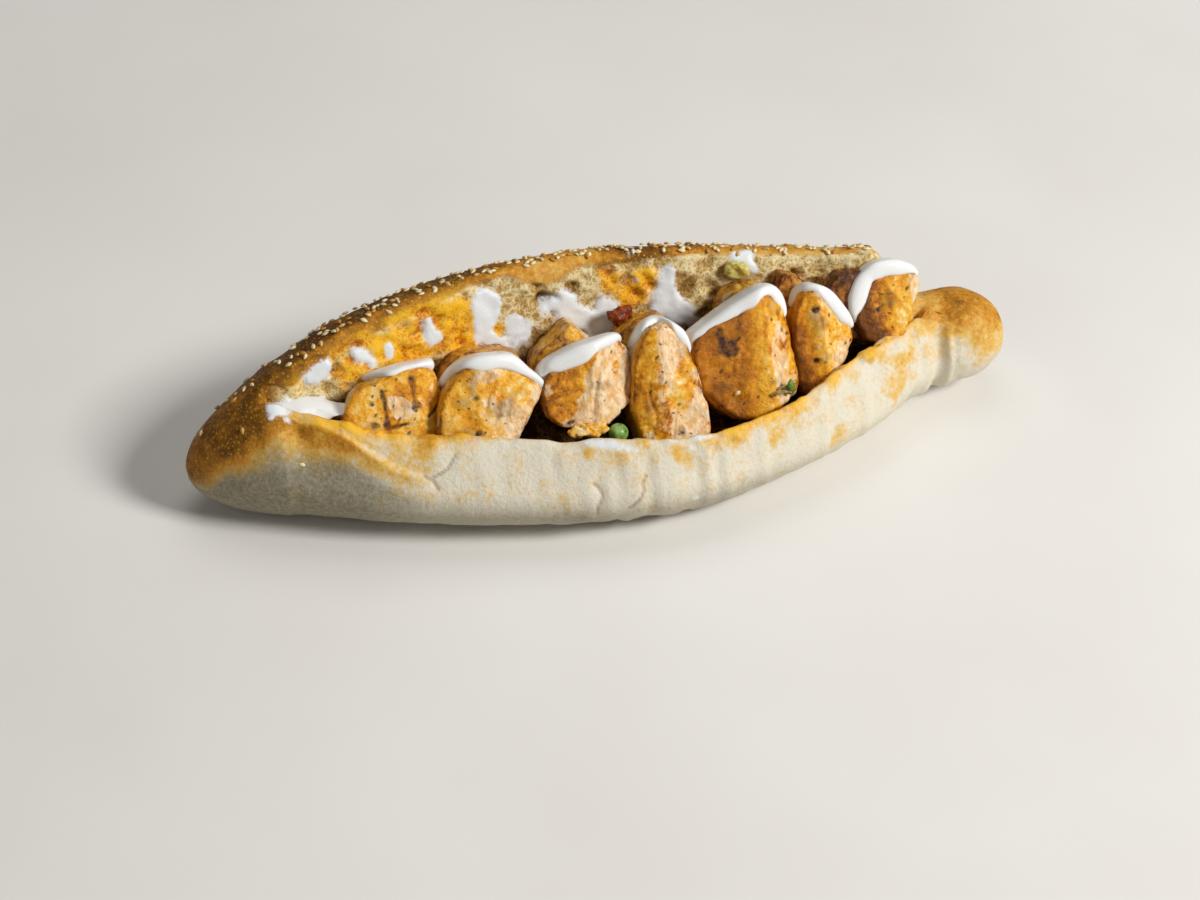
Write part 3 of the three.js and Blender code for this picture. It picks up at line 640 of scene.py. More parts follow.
def loaf_grid(rows, columns):
    """Stations crowded towards the ends, and parts at even steps of length round the middle section,
    wider apart under the loaf and on the floor of the cut, which hardly show."""
    first, last = BLUNT_END[0] - BLUNT_END[1], SMALL_END[0] + SMALL_END[1]
    even = np.arange(1, rows + 1) / (rows + 1)
    x = mix(first, last, mix(even, 0.5 - 0.5 * np.cos(np.pi * even), 0.4))
    fine = np.linspace(0, PARTS, 3001)
    section = loaf_surface(np.array([0.0]), fine)[0]
    middle = 0.5 * (fine[1:] + fine[:-1])
    pace = np.ones(len(middle))
    for low, high, share in SPARSE:
        pace[(middle > low) & (middle < high)] = share
    walked = np.concatenate([[0], np.cumsum(np.linalg.norm(np.diff(section, axis=0), axis=1) * pace)])
    return x, np.interp(np.linspace(0, walked[-1], columns, endpoint=False), walked, fine)


def loaf_relief(points, x, part):
    """What the oven and the hand did to the smooth loaf, and the shade painted into its colour. Returns the
    height to add along its normals and the fields that its material reads, all from noise in the loaf's own
    millimetres and from the listed places."""
    broad, fine, tiny = (lumps(points, cell, seed) for cell, seed in ((17, 1), (5.5, 2), (2.6, 3)))
    turn = np.where(part < FRONT_PARTS, part + PARTS, part)
    opened = cut_share(x)
    lip = bell(turn - LIP_TURN, 0.3) * fade(opened, 0.3, 0.9)
    # The baked-open score, and how far below its edge a point lies, in millimetres
    ear = along(x, EAR_LINE) + PARTS
    below = FRONT_STEP * (turn - ear)
    in_score = between(x, *SCORE)
    score = in_score * between(turn, 14.4, 14.8, ear - 0.08, ear + 0.04)
    # Crumb on the inside, from the border of the back leaf's crust to the lip
    border = along(x, CRUMB_BORDER)
    crumb = fade(part + 0.05 * fine, border - 0.05, border + 0.05) * (1 - fade(part, 14.62, 14.85))
    crumb = crumb * fade(opened, 0.15, 0.6)

    # Browning, by station, and painted shade that darkens the browned crust up to the crown towards the
    # blunt end; pale in the score, toasted on its ridge and in patches
    soft = 1 + 0.9 * fade(x, 105, 125)
    front_end = along(x, FRONT_BROWN) + 0.22 * broad + 0.08 * fine
    browned = fade(turn + 0.3 * broad, 6.7, 7.9)
    browned = browned * (1 - fade(turn, front_end - 0.85 * soft, front_end + 0.5 * soft))
    level = along(x, TOAST_LEVEL) + 0.1 * broad + 0.05 * fine
    level = level + 0.18 * (1 - fade(part, 8.9, 9.7)) * between(x, *DARK_BACK)
    level = level - 0.26 * fade(turn, 14.8, 15.3) * between(x, *PALE_LIP)
    toast = mix(browned * level, 0.15 + 0.1 * broad, 0.9 * score)
    ridge = in_score * fade(below, -0.6, 0.8) * np.exp(-np.maximum(below, 0) / 5)
    toast = np.maximum(toast, (0.36 + 0.1 * fine) * ridge)
    patches = fade(spots(points, TOASTED_PATCHES) + 0.5 * fine + 0.4 * tiny, 0.2, 1.4)
    tinge = (0.015 + 0.06 * broad + 0.05 * fine) * between(turn, *TINGED_FRONT)
    toast = np.maximum(toast, (0.23 * patches + tinge) * (1 - crumb))
    # Painted shade: the crust greyed and darkened below the score at the blunt end, and low on the front
    dust = fade(-x, 42, 96) * fade(turn, ear + 0.3, ear + 0.7) * (1 - fade(toast, 0.0, 0.5))
    under = between(turn, *LOW_FRONT) * (1 - fade(x, 15, 85))
    dust = np.maximum(dust, (0.62 + 0.25 * broad) * under)

    # Oil, in the listed stains, along the lip, and on the seam between crust and crumb
    oil = fade(spots(points, OIL_STAINS) + 0.5 * fine + 0.4 * tiny + 0.2 * broad, 0.35, 1.2)
    stained = lumps(points, 11, 4) + 0.5 * fine + 0.6 * fade(x, 28, 50)
    lip_stain = lip * fade(stained, -0.3, 0.6) * (1 - fade(x, 98, 112))
    oil = np.maximum(oil * np.maximum(crumb, lip), 0.75 * lip_stain)
    seam = bell(part - border + 0.04, 0.2) * between(x, *BROWN_SEAM)
    oil = np.maximum(oil, 0.9 * seam * fade(broad + 0.6 * fine, -0.6, 0.3))

    # Pores of two sizes in the crumb, fewer just under the crust; their field darkens the crumb as painted
    # shade in the pores and cavities, and as the deepest painted shade on the floor of the cut
    pulled = points + 1.8 * np.stack([lumps(points, 6, 30 + k) for k in range(3)], -1)
    big, big_own = bubbles(pulled, 8.5, 5)
    small, small_own = bubbles(pulled, 4.2, 9)
    cavity = spots(points, CAVITIES)
    hollow = fade(0.62 - big, 0, 0.5) * (0.35 + 0.65 * big_own)
    pit = fade(0.6 - small, 0, 0.5) * (0.3 + 0.7 * small_own)
    under_crust = 1 - fade(part - border, 0.05, 0.5)
    pore = np.clip(hollow + 0.6 * pit, 0, 1) - 0.3 * under_crust + 0.45 * cavity
    # Painted shade: the floor of the cut, deep between the chunks, made darkest
    pore = pore + 1.3 * between(part, *CUT_FLOOR)
    # Smeared sauce, ragged at its edges, with holes over the pores
    streaks = lumps(points, (2.4, 8, 8), 14) + 0.5 * lumps(points, (1.6, 4, 4), 16)
    smeared = spots(points, SAUCE_SMEARS)
    cream = smeared - 0.5 + fade(smeared, 0.04, 0.26) * (0.22 * fine + 0.2 * streaks + 0.2 * tiny)
    cream = cream - (0.35 * pit + 0.3 * hollow) * crumb - 1.0 * spots(points, SAUCE_GAPS)
    cream = np.maximum(cream, 0.3 - 0.3 * line_distance(points, LIP_SAUCE) + 0.3 * fine + 0.2 * tiny)

    # The crust's height: swells, wrinkles on the front leaf, folds at the neck, the small end's swells
    crust = 0.8 * lumps(points, 34, 6) + 0.4 * broad + 0.2 * fine
    wrinkles = lumps(points, (3.6, 22, 22), 12) + 0.6 * lumps(points, (7.5, 30, 30), 13)
    folded = fade(x, -80, -20) * (0.34 + 0.4 * bell(x - 16, 26))
    crust = crust + folded * wrinkles * between(turn, *FRONT_LEAF)
    neck = between(x, *NECK) * fade(turn, 13.5, 14.5)
    crust = crust + neck * (1.1 * lumps(points, (4, 14, 14), 15) + 0.8 * lumps(points, (2.4, 9, 9), 17))
    crust = crust + 1.3 * fade(x, 124, 132) * lumps(points, 13, 18)
    # The lip: raised over the score, blistered, torn near the small end
    crust = crust + 3.0 * bell(turn - LIP_TURN, 0.45) * between(x, *RAISED_LIP)
    dome = fade(0.5 - small, 0, 0.4)
    blisters = between(x, *BLISTERED_LIP) * between(turn, *OUTER_LIP)
    crust = crust + 0.8 * blisters * dome * (small_own > 0.45) + 0.22 * dome * toast
    torn = between(x, *TORN_LIP)
    crust = crust + lip * ((0.9 + 0.9 * torn) * fine + (0.5 + 1.1 * torn) * tiny)
    # The score's ridge and hollow, and the cracks
    on_ear = in_score * fade(below, -2.2, 0.4) * np.exp(-np.maximum(below, 0) / 7)
    cracks = line_distance(points, CRACKS)
    crust = crust + 1.7 * on_ear - 0.5 * score - 0.5 * bell(cracks, 0.95)
    wall = 1.3 * broad + 0.5 * tiny - 2.6 * hollow - 1.3 * pit - 2.2 * cavity
    bread = mix(crust, wall, crumb)
    coated = 0.3 * bread + 0.4 + 0.5 * broad + 0.2 * fine + 0.15 * streaks
    height = mix(bread, coated, fade(cream, 0.0, 0.5))
    return height, dict(zip(BREAD_FIELDS, (toast, crumb, pore, oil, cream, cracks, dust)))


def build_bread(settings):
    """The loaf as one closed grid: the smooth surface, moved along its normals by the relief."""
    x, parts = loaf_grid(settings.rows, settings.columns)
    smooth = loaf_surface(x, parts)
    station = np.broadcast_to(x[:, None], smooth.shape[:2])
    part = np.broadcast_to(parts, smooth.shape[:2])
    height, fields = loaf_relief(smooth, station, part)
    ends = between(station, x[0], x[0] + SMOOTH_ENDS[0], x[-1] - SMOOTH_ENDS[1], x[-1])
    normals = normals_of(smooth)
    outward = np.sign(normals[len(x) // 2, np.argmin(abs(parts - CROWN)), 2])
    rings = smooth + normals * (outward * settings.relief * height * ends)[..., None]
    rings[..., 2] = np.maximum(rings[..., 2], 0)
    poles = [np.mean(rings[k], axis=0) for k in (0, -1)]
    poles[0][0] = BLUNT_END[0] - BLUNT_END[1]
    poles[1][0] = SMALL_END[0] + SMALL_END[1]
    return closed_mesh("bread", rings, poles, fields)


def sphere_grid(rows, columns):
    """Unit directions on rings of latitude between an upper and a lower pole, and the two poles."""
    polar = (np.pi * np.arange(1, rows + 1) / (rows + 1))[:, None]
    around = circle(columns)
    level = np.broadcast_to(np.cos(polar), (rows, columns))
    grid = np.stack([np.sin(polar) * np.cos(around), np.sin(polar) * np.sin(around), level], -1)
    return grid, np.array([(0, 0, 1), (0, 0, -1)], float)


def seed_shape():
    """A sesame seed of unit length and of girth SEED_GIRTH: rings along X whose radius is that of a drop,
    pointed at one end."""
    s = np.array([0.1, 0.32, 0.62, 0.88])[:, None]
    radius = 0.5 * np.sin(np.pi * s) ** 0.8 * (0.62 + 0.5 * s)
    around = circle(6)
    rings = np.stack(np.broadcast_arrays(s - 0.5, radius * np.cos(around), radius * np.sin(around)), -1)
    return rings, np.array([(-0.5, 0, 0), (0.5, 0, 0)], float)


def lay_seeds(name, here, normal, forward, settings, dice):
    """Sesame seeds lying at given points: the drop shape turned at random about each point's normal, a
    little tilted and uneven in size, its middle just above the point."""
    rings, poles = seed_shape()
    count = len(here)
    spin = dice.random(count)[:, None] * 2 * np.pi
    lengthwise = np.cos(spin) * forward + np.sin(spin) * np.cross(normal, forward)
    lengthwise = lengthwise + 0.25 * (dice.random((count, 1)) - 0.5) * normal
    across = np.cross(normal, lengthwise)
    size = (0.85 + 0.3 * dice.random((count, 1))) / MM
    axes = np.stack([
        lengthwise * settings.length * size,
        across * settings.width / SEED_GIRTH * size,
        normal * settings.thickness / SEED_GIRTH * size,
    ], 1)
    place = here + normal * SEED_LIFT
    grids = np.einsum("rcj,njk->nrck", rings, axes) + place[:, None, None]
    tips = np.einsum("pj,njk->npk", poles, axes) + place[:, None]
    shade = np.broadcast_to(dice.random(count)[:, None, None], grids.shape[:3])
    return closed_mesh(name, grids, tips, {"shade": shade})


def build_seeds(settings):
    """Sesame seeds on the crust: an even, slightly shaken scatter of stations and parts, thinned out over
    the blunt end, and the few strays below it."""
    i = np.arange(settings.count)
    dice = np.random.default_rng(STREWN_DICE)
    x = mix(*SEED_STATIONS, (0.5 + EVEN_STEPS[0] * i) % 1) + dice.normal(0, SEED_SHAKE[0], len(i))
    part = mix(*SEED_PARTS, (0.5 + EVEN_STEPS[1] * i) % 1) + dice.normal(0, SEED_SHAKE[1], len(i))
    keep = (dice.random(len(i)) < fade(x, *SEED_DENSER) * 0.8 + 0.2) & (x < SEED_STOP)
    places = np.concatenate([np.stack([x, part], -1)[keep], STRAY_SEEDS])
    here = loaf_places(places)
    forward = loaf_places(places + (0.5, 0)) - here
    upward = loaf_places(places + (0, 0.02)) - here
    return lay_seeds("sesame_seeds", here, unit(np.cross(upward, forward)), unit(forward), settings, dice)


def build_stuck_seed(chunk, settings):
    """The sesame seed stuck to a chunk: laid at the point of the chunk's mesh nearest to a listed place."""
    name, place = STUCK_SEED
    points, normals = np.empty((2, 3 * len(chunk.vertices)), np.float32)
    chunk.vertices.foreach_get("co", points)
    chunk.vertices.foreach_get("normal", normals)
    points = points.reshape(-1, 3) / MM - PLAN_OFFSET
    spot = leaning(FRONT_LEAN) @ place + FRONT_CHUNKS[name]["at"]
    nearest = np.argmin(((points - spot) ** 2).sum(axis=1))
    normal = normals.reshape(-1, 3)[[nearest]].astype(float)
    forward = unit(np.cross((0, 0, 1), normal))
    dice = np.random.default_rng(STUCK_DICE)
    return lay_seeds("stuck_seed", points[[nearest]], normal, forward, settings, dice)


def leaning(lean):
    """A chunk's turn: leant back about the loaf's length."""
    a = -np.radians(lean)
    return np.array([(1, 0, 0), (0, np.cos(a), -np.sin(a)), (0, np.sin(a), np.cos(a))])


def turning(turn):
    """A scrap's turn about the vertical."""
    a = np.radians(turn)
    return np.array([(np.cos(a), -np.sin(a), 0), (np.sin(a), np.cos(a), 0), (0, 0, 1)])


def chunk_planes(spec):
    """Outward normals of a chunk's faces and their distances from its centre: one for each edge of the
    outline, then the left and right face of the front, then the back."""
    corners = np.array(spec["outline"], float)
    step = np.roll(corners, -1, axis=0) - corners
    flat = np.zeros(len(corners))
    left, right = np.radians(spec["turn"])
    half = spec["depth"] / 2
    front = (spec["ridge"], -half, 0)
    normals = np.vstack([
        np.stack([-step[:, 1], flat, step[:, 0]], -1),
        (-np.sin(left), -np.cos(left), 0), (np.sin(right), -np.cos(right), 0), (0, 1, 0),
    ])
    points = np.vstack([np.stack([corners[:, 0], flat, corners[:, 1]], -1), front, front, (0, half, 0)])
    normals = unit(normals)
    return normals, np.einsum("ij,ij->i", normals, points)


def chunk_reach(planes, directions):
    """Distance from a chunk's centre to its faces along unit directions, a soft minimum over the planes,
    and how near the front's rim that point is, from 0 to 1."""
    normals, distances = planes
    pull = np.maximum(directions @ normals.T / distances, 0) ** SHARPNESS
    total = pull.sum(axis=-1)
    sides = pull[..., :-3].sum(axis=-1)
    fronts = pull[..., -3:].max(axis=-1)
    edge = fade(1 - np.abs(sides - fronts) / total, 0.1, 0.9)
    return total ** (-1 / SHARPNESS), edge


def build_chunk(name, spec, lean, rows, columns, seed):
    """A chunk of chicken: the soft block of the solid, roughened along its radius by lumps, strands of
    flesh, splits between them and burnt marks. Fields: bare flesh, char, nearness to the front's rim,
    tone of the marinade with painted shade on the left face and painted light on the right, and its
    unevenness."""
    planes = chunk_planes(spec)
    turn = leaning(lean)
    grain = np.array([(1, 0, 0.3), (0, 1, 0.1), (-0.3, -0.1, 1)])
    split, slant = spec.get("meet", (spec["ridge"], 0))
    strip = spec.get("strip", 99)

    def shaped(directions):
        reach, edge = chunk_reach(planes, directions)
        local = directions * reach[..., None]
        across, depth, up = np.moveaxis(local, -1, 0)
        spread = local + NOISE_STEP * seed
        broad, fine, rough = (lumps(spread, cell, seed + k) for cell, k in ((12, 0), (4.2, 1), (1.9, 8)))
        combed = spread @ grain
        strands = lumps(combed, (1.9, 1.9, 14), seed + 3)
        splits = fade(1 - np.abs(lumps(combed, (5.5, 5.5, 20), seed + 6)), 0.84, 1.0)
        past = across - split - slant * up + 1.5 * fine + 2 * broad
        right = fade(past, -4, 4)
        bare = lumps(combed, (8, 8, 15), seed + 2) + mix(*spec["bare"], right) - 0.45 * edge + 0.4 * fine
        for place, height, radius in spec.get("panes", ()):
            apart = np.hypot(across - place, up - height) / radius
            bare = bare + 1.6 * fade(1.1 + 0.4 * fine - apart, 0, 0.5)
        bare = fade(bare + 2 * fade(across, strip - 1, strip + 1), -0.5, 0.7)
        marks = np.zeros_like(reach)
        for place, height, radius in spec.get("marks", ()):
            apart = np.hypot(across - place, up - height) / radius
            marks = np.maximum(marks, fade(1.1 + 0.8 * fine + 0.6 * rough - apart, 0, 0.8))
        for x0, z0, x1, z1, half in spec.get("strokes", ()):
            share = ((across - x0) * (x1 - x0) + (up - z0) * (z1 - z0)) / ((x1 - x0) ** 2 + (z1 - z0) ** 2)
            share = np.clip(share, 0, 1)
            apart = np.hypot(across - mix(x0, x1, share), up - mix(z0, z1, share)) / half
            marks = np.maximum(marks, fade(1.1 + 0.7 * fine + 0.4 * rough - apart, 0, 0.8))
        marks = marks * fade(-depth, 2, 6)
        relief = 0.7 * broad + 0.55 * fine + (0.16 + 0.3 * bare) * strands + (0.34 - 0.12 * bare) * rough
        relief = relief - (0.25 + 0.55 * bare) * splits - 0.45 * marks
        burn = fade(lumps(spread, 6, seed + 5) + 0.5 * fine + spec["char"], 0.45, 0.95)
        burn = np.maximum(burn * (0.35 + 0.65 * edge), 0.95 * marks)
        surface = (directions * (reach + relief)[..., None]) @ turn.T + spec["at"]
        # The marinade's tone, with painted shade on the left face and painted light on the right
        tone = mix(*spec["tone"], fade(past, -9, 1))
        vary = mix(spec.get("vary", 1.0), 1.0, right)
        return surface, dict(zip(CHUNK_FIELDS, (bare, burn, edge, tone, vary)))

    grid, tops = sphere_grid(rows, columns)
    rings, fields = shaped(grid)
    return closed_mesh(name, rings, shaped(tops)[0], fields)


def build_bead(name, spec, path, thickness, seed, rows=96, columns=28):
    """Thick sauce over a chunk: a flattened oval carried along a path on the chunk's upper rim, its upper
    half standing off the chunk and its lower half just inside it, narrowing to round ends."""
    lean = np.radians(BEAD_LEAN)
    t = np.linspace(0, 1, rows + 2)[1:-1]
    route = curve_through(np.array(path, float), t * (len(path) - 1))
    rim, front, half = np.radians(route[:, 0]), np.radians(route[:, 1]), route[:, 2]
    cap = np.sqrt(1 - np.abs(2 * t - 1) ** 6)
    wave = np.stack([t * 30 + 17 * seed, np.zeros(rows), np.zeros(rows)], -1)
    half = half * cap * (1 + 0.05 * lumps(wave, 4.2, seed))
    around = circle(columns)
    across = np.cos(around)
    lower = 1 + 0.07 * lumps(wave + 100, 6.5, seed + 1)[:, None] * (across > 0)
    tilt = front[:, None] + half[:, None] / BEAD_REACH * across * lower
    up = np.sin(rim)[:, None]
    directions = np.stack([
        np.cos(tilt) * np.cos(rim)[:, None],
        np.cos(tilt) * up * np.sin(lean) - np.sin(tilt) * np.cos(lean),
        np.cos(tilt) * up * np.cos(lean) + np.sin(tilt) * np.sin(lean),
    ], -1)
    reach, _ = chunk_reach(chunk_planes(spec), directions @ leaning(FRONT_LEAN))
    stand = np.sin(around)
    body = np.where(stand > 0, np.abs(stand) ** 0.75 * thickness, -BEAD_SUNK * np.abs(stand))
    offset = body * np.maximum(cap, 0.05)[:, None] * (1 + 0.12 * lumps(wave + 50, 5, seed + 2))[:, None]
    rings = directions * (reach + offset)[..., None] + np.array(spec["at"])
    return closed_mesh(name, rings, rings[[0, -1]].mean(axis=1))


def build_scrap(name, spec, seed):
    """A small scrap: an ellipsoid of the given size, its outline squared by the given power, roughened by
    broad and fine lumps and turned about the vertical."""
    power = spec.get("square", 2.0)
    size = np.array(spec["size"])

    def shaped(directions):
        reach = (np.abs(directions) ** power).sum(axis=-1) ** (-1 / power)
        local = directions * reach[..., None] * size / 2
        cells = (0.8 * size.min(), 0.25 * size.min())
        relief = sum(
            height * lumps(local + NOISE_STEP * seed, cell, seed + k)
            for k, (height, cell) in enumerate(zip(spec["lumps"], cells)))
        return (local + directions * relief[..., None]) @ turning(spec["turn"]).T + spec["at"]

    grid, tops = sphere_grid(*spec.get("grid", SCRAP_GRID))
    return closed_mesh(name, shaped(grid), shaped(tops), spec.get("fields"))


def build_pool():
    """Sauce run together in the end of the cut: an ellipsoid with a flattened, wavy upper face and a
    ragged rim, broad towards the blunt end and narrow towards the chicken."""
    at, size, turn = SAUCE_POOL

    def shaped(directions):
        local = directions[..., [2, 1, 0]] * np.array(size) / 2
        swell = 0.66 + 0.5 * fade(-local[..., 0], -size[0] / 3, size[0] / 4)
        rim = 1 + 0.36 * lumps(local + 90, 6, 3) + 0.2 * lumps(local + 90, 2.6, 4)
        top = np.where(local[..., 2] > 0, 0.45, 1.0)
        local = local * np.stack([0.5 + 0.5 * rim, swell * rim, swell * top], -1)
        local[..., 2] += 0.55 * lumps(local + 90, 4.5, 5)
        return local @ turning(turn).T + at

    grid, tops = sphere_grid(*POOL_GRID)
    return closed_mesh("sauce_pool", shaped(grid), shaped(tops))


def build_stems(settings):
    """Thin dry herb stems by the green scrap: round sections carried along short bent paths."""
    t = np.linspace(0, 1, 10)
    around = circle(6)
    starts, ends = np.array(STEM_STARTS, float), np.array(STEM_ENDS, float)
    lines = mix(starts[:, None], ends[:, None], t[None, :, None])
    lines[..., 2] += STEM_ARCH * np.sin(np.pi * t)
    radius = settings.stem / MM / 2 * (1 - 0.4 * t)
    ring = np.stack([np.zeros(6), np.cos(around), np.sin(around)], -1)
    rings = lines[:, :, None] + radius[None, :, None, None] * ring
    return closed_mesh("herb_stems", rings, lines[:, [0, -1]])


def node(tree, kind, inputs=(), stops=(), **settings):
    """Adds a shader node and returns its outputs. Its settings are set first, then its inputs, in order or
    by name or number: a socket is linked, a value is set, and a colour gets an alpha of 1. Stops are a
    colour ramp's rising places and their colours."""
    added = tree.nodes.new("ShaderNode" + kind)
    for key, value in settings.items():
        setattr(added, key, value)
    for key, value in inputs.items() if isinstance(inputs, dict) else enumerate(inputs):
        socket = added.inputs[key]
        if isinstance(value, bpy.types.NodeSocket):
            tree.links.new(value, socket)
        else:
            socket.default_value = (*value, 1) if socket.type == "RGBA" else value
    for count, (place, colour) in enumerate(stops):
        elements = added.color_ramp.elements
        element = elements[count] if count < len(elements) else elements.new(place)
        element.position = place
        element.color = (*colour, 1)
    return added.outputs


def blank(name):
    """An empty material, the function that adds a node to it, and its object coordinates."""
    material = bpy.data.materials.new(name)
    material.use_nodes = True
    material.node_tree.nodes.clear()
    add = partial(node, material.node_tree)
    return material, add, add("TexCoord")["Object"]


def per(millimetres):
    """A texture's scale for a pattern of this real size."""
    return 1 / (millimetres * MM)


def bread_material(look):
    """Baked wheat bread: a dry, matt crust that goes from floury cream to brown with tiny pale blisters and
    is greyed by painted shade low on the front and at the blunt end, an open crumb whose pores and the
    floor of the cut are darkened by painted shade, orange oil that soaks in and shines a little, and
    smooth white sauce where it has been smeared."""
    material, add, coords = blank("Baked wheat bread")
    read = {k: add("Attribute", attribute_name=k)["Fac"] for k in BREAD_FIELDS}
    # Unevenness of baking, grit of the crust, the crumb's web, and what pulls its strands aside
    (mottle, _), (grit, _), (web, _), (_, pull) = (
        add("TexNoise", {
            "Vector": coords, "Scale": per(size), "Detail": detail, "Roughness": rough, "Distortion": bend})
        for size, detail, rough, bend in (
            (9, 8, 0.7, 0), (1.6, 5, 0.65, 0), (3.2, 9, 0.76, 0.8), (4, 5, 0.6, 0)))
    # Browning, broken up by the two noises
    baked = -0.73
    for value, weight in ((mottle, 0.8), (grit, 0.6), (read["toast"], 1.0)):
        baked = add("Math", (value, weight, baked), operation="MULTIPLY_ADD")[0]
    crust = add("ValToRGB", (baked,), (
        (0.0, look.flour), (0.24, look.pale), (0.46, look.golden), (0.74, look.brown), (1.0, look.dark)))[0]
    # Painted shade: the crust greyed and darkened low on the front and below the score at the blunt end
    dusty = add("Math", (grit, 0.8, 0.4), operation="MULTIPLY_ADD")[0]
    dusty = add("Math", (dusty, read["dust"]), operation="MULTIPLY", use_clamp=True)[0]
    # Blisters: pale specks 1.4 mm apart, drawn a little larger than real ones so that they show
    speck = add("TexVoronoi", {"Vector": coords, "Scale": per(1.4)}, feature="F1")
    dotted = add("MapRange", (speck["Distance"], 0.12, 0.36, 1, 0), interpolation_type="SMOOTHSTEP")[0]
    chosen = add("Math", (add("SeparateColor", (speck["Color"],))[0], 0.2), operation="GREATER_THAN")[0]
    on_brown = add("MapRange", (read["toast"], 0.25, 0.6, 0, 0.7))[0]
    for share in (chosen, on_brown):
        dotted = add("Math", (dotted, share), operation="MULTIPLY")[0]
    split = add("MapRange", (read["crack"], 0.2, 1.1, 0.5, 0), interpolation_type="SMOOTHSTEP")[0]
    # Crumb: lighter on the walls between pores, darker inside them and darkest on the floor of the cut,
    # both as painted shade, with torn strands some 2 mm apart
    torn = add("VectorMath", (pull, (7 * MM,) * 3, coords), operation="MULTIPLY_ADD")[0]
    strand = add("TexVoronoi", {"Vector": torn, "Scale": per(2.2)}, feature="DISTANCE_TO_EDGE")["Distance"]
    depth = add("MapRange", (strand, 0, 0.26, 0.12, -0.05), interpolation_type="SMOOTHSTEP")[0]
    for value, weight in ((read["pore"], -0.3), (web, 1.0)):
        depth = add("Math", (value, weight, depth), operation="MULTIPLY_ADD")[0]
    crumb = add("ValToRGB", (depth,), (
        (0.0, look.soaked), (0.14, look.pore), (0.42, look.crumb), (0.68, look.web)))[0]
    # Oil and marinade, yellower where the crumb stands out and darker in the pores as painted shade
    stained = add("Math", (mottle, 0.9, -0.45), operation="MULTIPLY_ADD")[0]
    stained = add("Math", (stained, depth), operation="ADD")[0]
    stain = add("ValToRGB", (stained,), ((0.08, look.pore), (0.3, look.oil), (0.58, look.turmeric)))[0]
    soak = add("Math", (web, 0.45), operation="ADD")[0]
    soak = add("Math", (soak, read["oil"]), operation="MULTIPLY", use_clamp=True)[0]
    # Smeared sauce, with a broken edge
    film = -1.25
    for value, weight in ((grit, 1.3), (web, 1.2), (read["cream"], 1.0)):
        film = add("Math", (value, weight, film), operation="MULTIPLY_ADD")[0]
    white = add("MapRange", (film, -0.24, 0.46), interpolation_type="SMOOTHSTEP")[0]
    colour = crust
    for share, layer in (
        (dusty, look.dust), (dotted, look.blister), (split, look.brown),
        (read["crumb"], crumb), (soak, stain), (white, look.cream),
    ):
        colour = add("Mix", {0: share, 6: colour, 7: layer}, data_type="RGBA")[2]
    wet = add("Math", (soak, 0.7), operation="MULTIPLY")[0]
    wet = add("Math", (wet, white), operation="MAXIMUM")[0]
    rough = add("MapRange", (wet, 0, 1, 0.66, 0.3))[0]
    # Fine relief: the crust's grain, the crumb's web, less under the sauce
    grain = add("Mix", {0: read["crumb"], 2: grit, 3: depth}, data_type="FLOAT")[0]
    strength = add("MapRange", (white, 0, 1, 0.6, 0.25))[0]
    bump = add("Bump", {"Strength": strength, "Distance": 0.9 * MM, "Height": grain})[0]
    surface = add("BsdfPrincipled", {
        "Base Color": colour, "Roughness": rough, "Normal": bump, "IOR": 1.45, "Specular IOR Level": 0.24,
        "Subsurface Weight": 0.05, "Subsurface Radius": (1.0, 0.55, 0.3), "Subsurface Scale": 1.5 * MM,
    })
    add("OutputMaterial", {"Surface": surface["BSDF"]})
    return material


